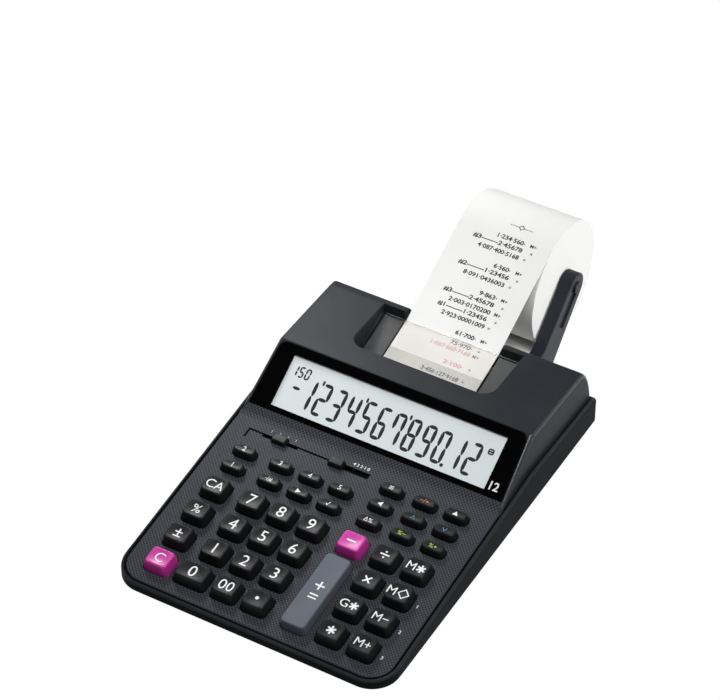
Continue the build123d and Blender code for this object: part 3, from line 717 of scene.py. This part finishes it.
# Key mat and circuit board: the rubber sheet with the contacts and the board under it.
# Dark moulded silicone on green laminate, both hidden by the keys.

mat_finish = grained_finish("mat_silicone", (40, 41, 42), (48, 49, 50), 900.0, 0.6, 0.03 * mm)
board_finish = grained_finish("board_laminate_green", (38, 84, 52), (46, 94, 60), 600.0, 0.35, 0.02 * mm)
for node, finish in (("key_mat", mat_finish), ("circuit_board", board_finish)):
    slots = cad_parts[node].material_slots
    slots[0].material = finish


# Keys: tapered caps with a shallow dish and soft edges, each on a shank through the panel.
# Moulded in black, magenta or slate plastic, with the signs printed on top in ink.

key_black = grained_finish(
    "key_black", (23, 24, 26), (28, 29, 31), 2200.0, 0.36, 0.03 * mm, Specular_IOR_Level=0.16
)
key_magenta = grained_finish("key_magenta", (192, 48, 150), (200, 54, 158), 2200.0, 0.32, 0.02 * mm)
key_slate = grained_finish(
    "key_slate", (90, 94, 104), (96, 100, 110), 2200.0, 0.42, 0.03 * mm, Specular_IOR_Level=0.12
)
cyan_ink = grained_finish("cyan_ink", (50, 150, 185), (56, 156, 190), 900.0, 0.5, 0.01 * mm)
orange_ink = grained_finish("orange_ink", (205, 118, 50), (210, 124, 56), 900.0, 0.5, 0.01 * mm)
lime_ink = grained_finish("lime_ink", (176, 196, 50), (182, 202, 58), 900.0, 0.5, 0.01 * mm)
shank = 2.6 * mm
lip = 0.8 * mm
dish_steps = 4


def key_cap(name, length, depth, rise, corner, taper, edge, dish):
    """A key at the origin: its shank below, and a tapered, dished cap above."""
    bpy.ops.object.select_all(action="DESELECT")
    bpy.ops.mesh.primitive_cube_add(size=1.0, location=(0, 0, -shank / 2), scale=(length, depth, shank))
    cap = bpy.context.object
    cap.name = name
    bpy.ops.object.transform_apply()
    bpy.ops.object.mode_set(mode="EDIT")
    pick_edges(cap, lambda middle, turn: abs(middle.z + shank / 2) < close)
    bpy.ops.mesh.bevel(offset=corner, segments=5, affect="EDGES")
    draw_in = rise * sin(taper) / cos(taper)
    for share in (0.42, 0.58):
        pick_faces(cap, lambda middle, normal: normal.z > square_on)
        bpy.ops.mesh.extrude_region_move(TRANSFORM_OT_translate={"value": (0, 0, rise / 2)})
        grid = bmesh.from_edit_mesh(cap.data)
        chosen = [v.co for v in grid.verts if v.select]
        across = max(v.x for v in chosen)
        along = max(v.y for v in chosen)
        shrink = draw_in * share
        bpy.ops.transform.resize(value=(1 - shrink / across, 1 - shrink / along, 1.0))
    under_top = rise - 0.01 * mm
    pick_edges(cap, lambda middle, turn: middle.z > under_top)
    bpy.ops.mesh.bevel(offset=edge, segments=4, affect="EDGES")
    flat_x = length / 2 - draw_in - edge
    flat_y = depth / 2 - draw_in - edge
    for axis, flat in ((0, flat_x), (1, flat_y)):
        across = Vector()
        across[axis] = 1.0
        for cut in range(1 - dish_steps, dish_steps):
            bpy.ops.mesh.select_all(action="SELECT")
            bpy.ops.mesh.bisect(plane_co=across * flat * cut / dish_steps, plane_no=across)
    grid = bmesh.from_edit_mesh(cap.data)
    for vertex in grid.verts:
        if vertex.co.z > under_top:
            vertex.co.z -= dish * dish_share(vertex.co.x / flat_x, vertex.co.y / flat_y)
    bpy.ops.mesh.select_all(action="SELECT")
    bpy.ops.mesh.normals_make_consistent(inside=False)
    bpy.ops.object.mode_set(mode="OBJECT")
    smooth(cap, 50.0)
    return cap, flat_x, flat_y


def dish_share(across, along):
    """How deep the dish is at a place on the key's top, from 0 at its edge to 1 in the middle."""
    return max(0.0, 1 - across ** 2) * max(0.0, 1 - along ** 2)


def panel_place(node):
    """Where a node's middle is on the key panel, and its length, depth and height there."""
    points = [panel_inverse @ v.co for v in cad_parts[node].data.vertices]
    low = [min(p[axis] for p in points) for axis in range(3)]
    high = [max(p[axis] for p in points) for axis in range(3)]
    middle = Vector(((low[0] + high[0]) / 2, (low[1] + high[1]) / 2, 0.0))
    return middle, high[0] - low[0] - 2 * lip, high[1] - low[1] - 2 * lip, high[2]


def sign_at(text, height, ink=white_ink, across=0.0, along=0.0):
    """A sign on a key's top: text, capital height and place from the middle in mm, and ink."""
    return text, height * mm, across * mm, along * mm, ink


# Capital heights that several keys share, in mm
large, middling, little, least = 6.8, 5.0, 2.6, 2.4
key_signs = {f"key_{digit}": [sign_at(str(digit), large)] for digit in range(10)}
key_signs.update({
    "key_double_zero": [sign_at("00", 6.2)],
    "key_point": [sign_at("•", 6.0, along=0.4)],
    "key_clear": [sign_at("C", 5.8)],
    "key_clear_all": [sign_at("CA", 5.4)],
    "key_sign": [sign_at("±", 6.4)],
    "key_percent": [sign_at("%", 5.4)],
    "key_minus": [sign_at("−", 8.0)],
    "key_plus_equals": [sign_at("+", 8.0, across=0.5, along=3.6), sign_at("=", 7.2, across=0.5, along=-3.8)],
    "key_times": [sign_at("×", 7.4)],
    "key_divide": [sign_at("−", 7.6), sign_at("•", 3.2, along=1.9), sign_at("•", 3.2, along=-1.9)],
    "key_total": [sign_at("✱", 5.2)],
    "key_grand_total": [sign_at("G✱", middling)],
    "key_memory_total": [sign_at("M✱", middling)],
    "key_memory_subtotal": [sign_at("M◇", middling)],
    "key_memory_minus": [sign_at("M−", middling)],
    "key_memory_plus": [sign_at("M+", middling)],
    "key_shift": [sign_at("▶", least)],
    "key_date": [sign_at("·/#", little)],
    "key_square_root": [sign_at("√", 2.8)],
    "key_change": [sign_at("Δ%", little)],
    "key_up": [sign_at("∧", 2.8, cyan_ink)],
    "key_down": [sign_at("∨", 2.8, cyan_ink)],
    "key_tax_minus": [sign_at("%−", little, lime_ink)],
    "key_tax_plus": [sign_at("%+", little, lime_ink)],
    "key_after": [sign_at("−/+", little, orange_ink)],
    "key_rate": [sign_at("1", 3.0)],
    "key_time": [sign_at("2", 3.0)],
    "key_cost": [sign_at("3", 3.0)],
    "key_sell": [sign_at("4", 3.0)],
    "key_margin": [sign_at("5", 3.0)],
    "key_correct": [sign_at("◀", least)],
    "key_print": [sign_at("≡", 3.6)],
    "key_feed": [sign_at("▲", least)],
})
key_finishes = {"key_clear": key_magenta, "key_minus": key_magenta, "key_plus_equals": key_slate}
cap_masters = {}
cap_edge = 0.75 * mm
small_depth, tall_depth = 10.0 * mm, 40.0 * mm
for node, signs in key_signs.items():
    middle, length, depth, rise = panel_place(node)
    form = (round(length, 4), round(depth, 4))
    if form not in cap_masters:
        small = depth < small_depth
        taper = radians(4.0 if depth > tall_depth else 11.5)
        corner = (2.6 if small else 2.4) * mm
        dish = (0.2 if small else 0.45) * mm
        form_cap = key_cap("cap_master", length, depth, rise, corner, taper, cap_edge, dish)
        cap_masters[form] = (*form_cap, dish)
    master, flat_x, flat_y, dish = cap_masters[form]
    cap = new_piece(node + "_cap", master.data)
    cap.data.materials.append(key_finishes.get(node, key_black))
    prints = []
    for text, height, across, along, ink in signs:
        sign = printed_sign(text, height, ink)
        sign.data.transform(Matrix.Translation((across, along, 0)))
        for vertex in sign.data.vertices:
            lowered = dish * dish_share(vertex.co.x / flat_x, vertex.co.y / flat_y)
            vertex.co.z += rise - lowered + print_lift
        prints.append(sign)
    join_to(cap, prints)
    cap.data.transform(panel_frame @ Matrix.Translation(middle))
    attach(cap, node)
    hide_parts(node)
for master, flat_x, flat_y, dish in cap_masters.values():
    bpy.data.objects.remove(master)


# Switch knobs: small caps that slide in slots above the keypad, with a grip ridge.
# Black plastic, the same as the keys.

knob_foot = 0.4 * mm
for node in ("mode_knob", "decimal_knob"):
    knob = own_copy(node, node + "_cap")
    round_edges(
        knob, 0.5 * mm, 3,
        lambda middle, turn: turn > radians(40) and (panel_inverse @ middle).z > knob_foot,
    )
    smooth(knob, 40.0)
    knob.data.materials.append(key_black)
    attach(knob, node)
    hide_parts(node)

# Ticks and small digits printed on the panel beside the switches and the memory keys: the text,
# its capital height, and its place across the panel and up it
panel_prints = []
for text, height, x, s in (
    ("4 3 2 1 0", 1.9 * mm, -1.0 * mm, 121.6 * mm),
    ("1", 2.0 * mm, 71.6 * mm, 53.7 * mm),
    ("2", 2.0 * mm, 71.6 * mm, 35.4 * mm),
    ("3", 2.0 * mm, 71.6 * mm, 17.2 * mm),
):
    sign = printed_sign(text, height, white_ink, gain=0.03 * mm)
    sign.data.transform(panel_frame @ Matrix.Translation((x, s, print_lift)))
    panel_prints.append(sign)
first_tick, tick_pitch, tick_s = -56.5, 5.0, 121.4 * mm
for tick in range(4):
    sign = printed_sign("|", 1.4 * mm, white_ink)
    tick_place = ((first_tick + tick_pitch * tick) * mm, tick_s, print_lift)
    sign.data.transform(panel_frame @ Matrix.Translation(tick_place))
    panel_prints.append(sign)
panel_marks = panel_prints.pop()
panel_marks.name = "panel_marks"
join_to(panel_marks, panel_prints)
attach(panel_marks, "case")


# Printer: a tray with end plates, the rubber platen that drives the paper, and the ink roller.
# Grey moulded plastic, black rubber and dark felt, seen through the cover.

frame_finish = grained_finish("frame_grey", (76, 79, 82), (82, 85, 88), 1800.0, 0.5, 0.04 * mm)
platen_finish = grained_finish("platen_rubber", (24, 24, 25), (30, 30, 31), 1500.0, 0.7, 0.05 * mm)
felt_finish = grained_finish("ink_felt", (34, 24, 40), (42, 30, 50), 3200.0, 0.9, 0.12 * mm)
for node, finish in (
    ("printer_frame", frame_finish),
    ("feed_roller", platen_finish),
    ("ink_roller", felt_finish),
):
    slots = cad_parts[node].material_slots
    slots[0].material = finish


# Printer cover: a clear plate over the bay that lifts off, with the toothed cutter along its
# rear edge. Clear, faintly grey acrylic with polished faces.

cover_finish = grained_finish(
    "cover_clear_acrylic", (196, 194, 192), (201, 199, 197), 700.0, 0.0, 0.001 * mm,
    Transmission_Weight=1.0, IOR=1.2, Specular_IOR_Level=0.2,
)
tree = cover_finish.node_tree
shader = tree.nodes["Principled BSDF"]
tree.links.remove(shader.inputs["Roughness"].links[0])
shader.inputs["Roughness"].default_value = 0.0
rays = add_node(tree, "LightPath")
clear_way = add_node(tree, "BsdfTransparent")
lets_light = add_node(tree, "MixShader")
tree.links.new(rays.outputs["Is Shadow Ray"], lets_light.inputs["Fac"])
tree.links.new(shader.outputs["BSDF"], lets_light.inputs[1])
tree.links.new(clear_way.outputs["BSDF"], lets_light.inputs[2])
tree.links.new(lets_light.outputs["Shader"], tree.nodes["Material Output"].inputs["Surface"])
cutter_y = 50.0 * mm
printer_cover = own_copy("printer_cover", "printer_cover_plate")
round_edges(printer_cover, 0.2 * mm, 2, lambda middle, turn: turn > radians(70) and middle.y < cutter_y)
smooth(printer_cover)
printer_cover.data.materials.append(cover_finish)
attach(printer_cover, "printer_cover")
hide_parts("printer_cover")


# Paper: the printed strip that comes out over the cutter and lies on the roll, and the web that
# runs from the roll into the case. Uncoated white paper with black and red printed figures.

paper_finish = grained_finish("paper_white", (244, 244, 242), (249, 249, 247), 1500.0, 0.8, 0.02 * mm)
black_print = grained_finish("print_black", (28, 28, 33), (42, 42, 48), 1200.0, 0.8, 0.01 * mm)
grey_print = grained_finish("print_grey", (128, 126, 128), (146, 144, 146), 1200.0, 0.8, 0.01 * mm)
red_print = grained_finish("print_red", (224, 178, 172), (230, 190, 184), 1200.0, 0.8, 0.01 * mm)
hub = (Vector(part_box("paper_roll")[0]) + Vector(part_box("paper_roll")[1])) / 2
roll_radius = (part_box("paper_roll")[1][2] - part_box("paper_roll")[0][2]) / 2
exit_point = Vector((0, 51.29 * mm, 43.64 * mm))
paper_half = 0.15 * mm
paper_lift = 0.45 * mm
cover_tilt = radians(16.6)
split_height = 30.0 * mm
to_hub = hub - exit_point
turn_radius = roll_radius + paper_lift
strip_tilt = atan2(to_hub.z, to_hub.y) + asin(turn_radius / to_hub.length)
strip_run = sqrt(to_hub.length_squared - turn_radius ** 2)
strip_frame = Matrix.Translation(exit_point) @ Matrix.Rotation(strip_tilt, 4, "X")


def paper_piece(name, keep_above):
    """One of the two lengths of paper, split off at split_height and cut across at many places along its
    run.
    """
    piece = own_copy("paper_strip", name)
    bpy.ops.object.mode_set(mode="EDIT")
    bpy.ops.mesh.select_all(action="SELECT")
    bpy.ops.mesh.bisect(
        plane_co=(0, 0, split_height), plane_no=(0, 0, 1), use_fill=True,
        clear_inner=keep_above, clear_outer=not keep_above,
    )
    start, end = (exit_point.y, hub.y) if keep_above else (rear_y, hub.y)
    cuts = 40
    for cut in range(cuts + 1):
        bpy.ops.mesh.select_all(action="SELECT")
        bpy.ops.mesh.bisect(plane_co=(0, start + (end - start) * cut / cuts, 0), plane_no=(0, 1, 0))
    bpy.ops.object.mode_set(mode="OBJECT")
    smooth(piece)
    piece.data.materials.append(paper_finish)
    return piece


printed_strip = paper_piece("printed_strip", True)
supply_web = paper_piece("supply_web", False)


def strip_place(along):
    """The frame on the paper's face so far from the cutter: under the cover, free or on the roll."""
    if along < 0:
        under = Matrix.Translation(exit_point) @ Matrix.Rotation(cover_tilt, 4, "X")
        return under @ Matrix.Translation((0, along, paper_half))
    free = strip_frame @ Matrix.Translation((0, min(along, strip_run), paper_half))
    turn = min(0.0, strip_run - along) / turn_radius
    return Matrix.Translation(hub) @ Matrix.Rotation(turn, 4, "X") @ Matrix.Translation(-hub) @ free


def printed_row(text, left, right, along, sign, sign_x, ink=black_print, sign_ink=black_print):
    """A row of figures with its ends and place along the strip in mm, the sign after it, and inks."""
    return text, left, right, along, sign, sign_x, ink, sign_ink


strip_rows = [
    printed_row("·····◇·····", -0.6, 13.2, 75.0, "", 0.0),
    printed_row("1·234·560·", -4.2, 12.8, 66.3, "M+", 17.9),
    printed_row("#3-------2·45678", -17.4, 13.1, 61.9, "×", 18.7),
    printed_row("4·087·400·5168", -12.4, 13.1, 57.4, "=", 16.6),
    printed_row("6·560·", 2.1, 12.3, 48.6, "M+", 17.5),
    printed_row("#2-------1·23456", -17.9, 13.5, 44.2, "×", 18.6),
    printed_row("8·091·0436003", -12.5, 13.0, 39.5, "=", 16.5),
    printed_row("9·863·", 2.0, 12.9, 30.8, "M+", 17.3),
    printed_row("#3-------2·45678", -18.2, 13.0, 26.4, "×", 18.4),
    printed_row("2·003·0170200", -12.8, 13.2, 21.8, "M+", 17.5),
    printed_row("#1-------1·23456", -17.4, 13.1, 17.4, "×", 18.6),
    printed_row("2·923·00001009", -12.9, 14.0, 13.0, "=", 16.6),
    printed_row("61·700·", 0.2, 12.7, 4.7, "M+", 17.7),
    printed_row("75·970·", 0.5, 13.8, -1.9, "+", 18.0, grey_print),
    printed_row("1·087·560·7168", -9.6, 14.7, -5.8, "M+", 18.1, red_print, grey_print),
    printed_row("2·100·", 2.8, 14.9, -14.6, "+", 19.0, red_print, grey_print),
    printed_row("3·456·127·9168", -6.4, 16.4, -22.9, "=", 19.4, grey_print, grey_print),
]
row_height, row_gain = 2.5 * mm, 0.11 * mm
sign_height, sign_gain = 2.0 * mm, 0.06 * mm
ink_depth = 0.03 * mm
row_prints = []
for text, left, right, along, sign_text, sign_x, ink, sign_ink in strip_rows:
    place = strip_place(along * mm)
    row = printed_sign(text, row_height, ink, thickness=ink_depth, gain=row_gain)
    stretch = (right - left) * mm / row.dimensions.x
    row.data.transform(Matrix.Diagonal((stretch, 1.0, 1.0, 1.0)))
    row.data.transform(place @ Matrix.Translation(((left + right) / 2 * mm, 0, 0)))
    row_prints.append(row)
    if sign_text:
        sign = printed_sign(sign_text, sign_height, sign_ink, thickness=ink_depth, gain=sign_gain)
        sign.data.transform(place @ Matrix.Translation((sign_x * mm, 0, 0)))
        row_prints.append(sign)
join_to(printed_strip, row_prints)
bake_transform(printed_strip)
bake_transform(supply_web)
for piece, cut_length in ((printed_strip, 141 * mm), (supply_web, 123 * mm)):
    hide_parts("paper_strip")


# Painted shadow: a faint smoky sheet laid just over the paper under the cover, which darkens a band
# across the paper as a painted shadow. A thin tinted sheet, carried with the case.

shadow_film_finish = grained_finish(
    "painted_shadow_film", (70, 70, 72), (76, 76, 78), 900.0, 0.35, 0.003 * mm, Alpha=0.08
)
film_width, film_depth, film_thickness = 59.0 * mm, 10.0 * mm, 0.06 * mm
film_along, film_gap = -22.8 * mm, 0.15 * mm
bpy.ops.object.select_all(action="DESELECT")
bpy.ops.mesh.primitive_cube_add(size=1.0)
shadow_film = bpy.context.object
shadow_film.name = "paper_shadow_film"
shadow_film.data.transform(Matrix.Diagonal((film_width, film_depth, film_thickness, 1.0)))
bpy.ops.object.mode_set(mode="EDIT")
pick_edges(shadow_film, lambda middle, turn: abs(middle.z) < film_thickness / 4)
bpy.ops.mesh.bevel(offset=0.8 * mm, segments=3, affect="EDGES")
bpy.ops.object.mode_set(mode="OBJECT")
shadow_film.data.transform(strip_place(film_along) @ Matrix.Translation((0, 0, film_gap)))
shadow_film.data.materials.append(shadow_film_finish)
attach(shadow_film, "case")


# Paper roll: a long strip of paper wound on a core, carried between the arms.
# Uncoated white paper; the turns show as fine rings on both ends.

ring_pitch = 0.55 * mm
roll_edge_finish, tree, shader = new_finish("roll_edge_paper")
ring_place = add_node(tree, "TexCoord")
centred = add_node(tree, "Mapping")
centred.inputs["Location"].default_value = (-hub.x, -hub.y, -hub.z)
rings = add_node(tree, "TexWave", wave_type="RINGS", rings_direction="X", wave_profile="SIN")
rings.inputs["Scale"].default_value = wave_unit / ring_pitch
rings.inputs["Distortion"].default_value = 0.6
tree.links.new(ring_place.outputs["Object"], centred.inputs["Vector"])
tree.links.new(centred.outputs["Vector"], rings.inputs["Vector"])
tree.links.new(
    add_mix(tree, rings.outputs["Fac"], tone(240, 240, 238), tone(228, 228, 226)),
    shader.inputs["Base Color"],
)
tree.links.new(add_range(tree, rings.outputs["Fac"], 0.0, 1.0, 0.75, 0.9), shader.inputs["Roughness"])
add_bump(tree, shader, rings.outputs["Fac"], 0.05 * mm, 0.5)
core_finish = grained_finish("roll_core_board", (176, 170, 160), (186, 180, 170), 1200.0, 0.8, 0.05 * mm)

roll_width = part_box("paper_roll")[1][0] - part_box("paper_roll")[0][0]
roll_bore = 6.0 * mm
core_wall = 1.6 * mm
edge_ring, core_step, core_sunk = 0.3 * mm, 0.1 * mm, 0.4 * mm
bpy.ops.object.select_all(action="DESELECT")
bpy.ops.mesh.primitive_cylinder_add(
    vertices=128, radius=roll_radius, depth=roll_width, location=hub, rotation=(0, pi / 2, 0)
)
paper_roll = bpy.context.object
paper_roll.name = "paper_roll_wound"
bpy.ops.object.transform_apply()
bpy.ops.object.mode_set(mode="EDIT")
pick_faces(paper_roll, lambda middle, normal: abs(normal.x) > square_on)
bpy.ops.mesh.inset(thickness=edge_ring)
bpy.ops.mesh.inset(thickness=roll_radius - roll_bore - core_wall - edge_ring)
bpy.ops.mesh.inset(thickness=core_step, depth=-core_sunk)
bpy.ops.mesh.inset(thickness=core_wall - core_step)
bpy.ops.mesh.bridge_edge_loops()
pick_edges(
    paper_roll,
    lambda middle, turn: turn > sharp_turn and (middle - hub).yz.length > roll_radius - 2 * close,
)
bpy.ops.mesh.bevel(offset=0.15 * mm, segments=2, affect="EDGES")
bpy.ops.object.mode_set(mode="OBJECT")
smooth(paper_roll)
for finish in (paper_finish, roll_edge_finish, core_finish):
    paper_roll.data.materials.append(finish)
for face in paper_roll.data.polygons:
    away = (face.center - hub).yz.length
    if away < roll_bore + core_wall - close / 2:
        face.material_index = 2
    elif abs(face.normal.x) > square_on:
        face.material_index = 1
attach(paper_roll, "paper_roll")
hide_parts("paper_roll")


# Roll arms: two cranked arms that swing on the lugs behind the case and carry the roll on pins.
# Charcoal plastic like the case, a little bluer, with rounded edges and a long recess outside.

arm_finish = grained_finish(
    "arm_charcoal", (33, 36, 42), (38, 41, 48), 2400.0, 0.4, 0.05 * mm, Specular_IOR_Level=0.12
)
arm_inner, recess_floor = 29.65 * mm, 35.85 * mm


def round_the_arm(middle, normal):
    """The faces round the arm's edge; its flat sides have holes in them and stay as they are."""
    return abs(normal.x) < square_on


def on_arm(middle, turn):
    """The arm's outer edges and the recess's mouth, but not the edges of its floor."""
    off_floor = abs(abs(middle.x) - recess_floor) > close / 2
    return turn > sharp_turn and abs(middle.x) > arm_inner + close and off_floor


for node in ("left_arm", "right_arm"):
    arm = own_copy(node, node + "_moulding", round_the_arm)
    round_edges(arm, 0.5 * mm, 2, on_arm)
    smooth(arm)
    arm.data.materials.append(arm_finish)
    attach(arm, "roll_holder")
    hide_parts(node)


# Studio: a floor that the camera sees as white and that keeps the object's shadow, one soft box
# overhead and one behind, three aimed spots with soft rims, and a camera at the photograph's angle.

floor_glow, glow_share = 1.03, 0.97
floor_finish, tree, shader = new_finish("studio_floor")
shader.inputs["Base Color"].default_value = (0.25, 0.25, 0.25, 1.0)
shader.inputs["Roughness"].default_value = 0.9
shader.inputs["Specular IOR Level"].default_value = 0.0
glow = add_node(tree, "Emission")
glow.inputs["Strength"].default_value = floor_glow
rays = add_node(tree, "LightPath")
through = add_node(tree, "Math", operation="ADD")
tree.links.new(rays.outputs["Is Glossy Ray"], through.inputs[0])
tree.links.new(rays.outputs["Is Transmission Ray"], through.inputs[1])
seen = add_node(tree, "Math", operation="ADD", use_clamp=True)
tree.links.new(rays.outputs["Is Camera Ray"], seen.inputs[0])
tree.links.new(through.outputs[0], seen.inputs[1])
share = add_node(tree, "Math", operation="MULTIPLY")
share.inputs[1].default_value = glow_share
tree.links.new(seen.outputs[0], share.inputs[0])
blend = add_node(tree, "MixShader")
tree.links.new(share.outputs[0], blend.inputs["Fac"])
tree.links.new(shader.outputs["BSDF"], blend.inputs[1])
tree.links.new(glow.outputs["Emission"], blend.inputs[2])
tree.links.new(blend.outputs["Shader"], tree.nodes["Material Output"].inputs["Surface"])
bpy.ops.object.select_all(action="DESELECT")
bpy.ops.mesh.primitive_plane_add(size=8.0, location=(0, 0, -0.2 * mm))
floor = bpy.context.object
floor.name = "studio_floor"
floor.data.materials.append(floor_finish)

world = bpy.data.worlds.new("studio")
bpy.context.scene.world = world
world.use_nodes = True
world.node_tree.nodes["Background"].inputs["Color"].default_value = (1.0, 1.0, 1.0, 1.0)
world.node_tree.nodes["Background"].inputs["Strength"].default_value = 0.14


def aimed(name, data, place, target):
    """A lamp or a camera that stands at place and faces target."""
    holder = bpy.data.objects.new(name, data)
    bpy.context.scene.collection.objects.link(holder)
    holder.location = place
    holder.rotation_euler = (Vector(target) - Vector(place)).to_track_quat("-Z", "Y").to_euler()
    return holder


def soft_box(name, place, target, size, power):
    """A square area lamp that faces target."""
    lamp = bpy.data.lights.new(name, "AREA")
    lamp.size = size
    lamp.energy = power
    aimed(name, lamp, place, target)


def spot_lamp(name, place, target, cone, rim, radius, power):
    """A spot lamp that faces target, with a cone in degrees and the share of it that is soft."""
    lamp = bpy.data.lights.new(name, "SPOT")
    lamp.energy = power
    lamp.spot_size = radians(cone)
    lamp.spot_blend = rim
    lamp.shadow_soft_size = radius
    aimed(name, lamp, place, target)


soft_box("top_light", (0.4, -0.1, 1.15), (0, 0, 0), size=0.6, power=10.7)
soft_box("edge_light", (0.65, 0.62, 0.38), (0, 0, 0.03), size=0.25, power=0.9)
deck_aim, keypad_aim = (-0.08, -0.01, 0.045), (-0.07, -0.12, 0.02)
spot_lamp("deck_light", (-0.36, 0.30, 0.45), deck_aim, cone=26.0, rim=1.0, radius=0.12, power=18.0)
spot_lamp("keypad_light", (-0.4, -0.75, 0.75), keypad_aim, cone=18.0, rim=1.0, radius=0.2, power=8.5)
spot_lamp("roll_light", (0.75, 0.25, 0.10), hub, cone=15.0, rim=0.3, radius=0.06, power=13.8)

camera_data = bpy.data.cameras.new("photo_camera")
camera_data.lens = 163.08
camera_data.sensor_width = 36.0
camera_place = Vector((0.6419, -1.1373, 1.2031))
camera_aim = Vector((-0.04641, 0.03161, 0.0300))
camera = aimed("photo_camera", camera_data, camera_place, camera_aim)
bpy.context.scene.camera = camera
bpy.context.scene.view_settings.view_transform = "Standard"
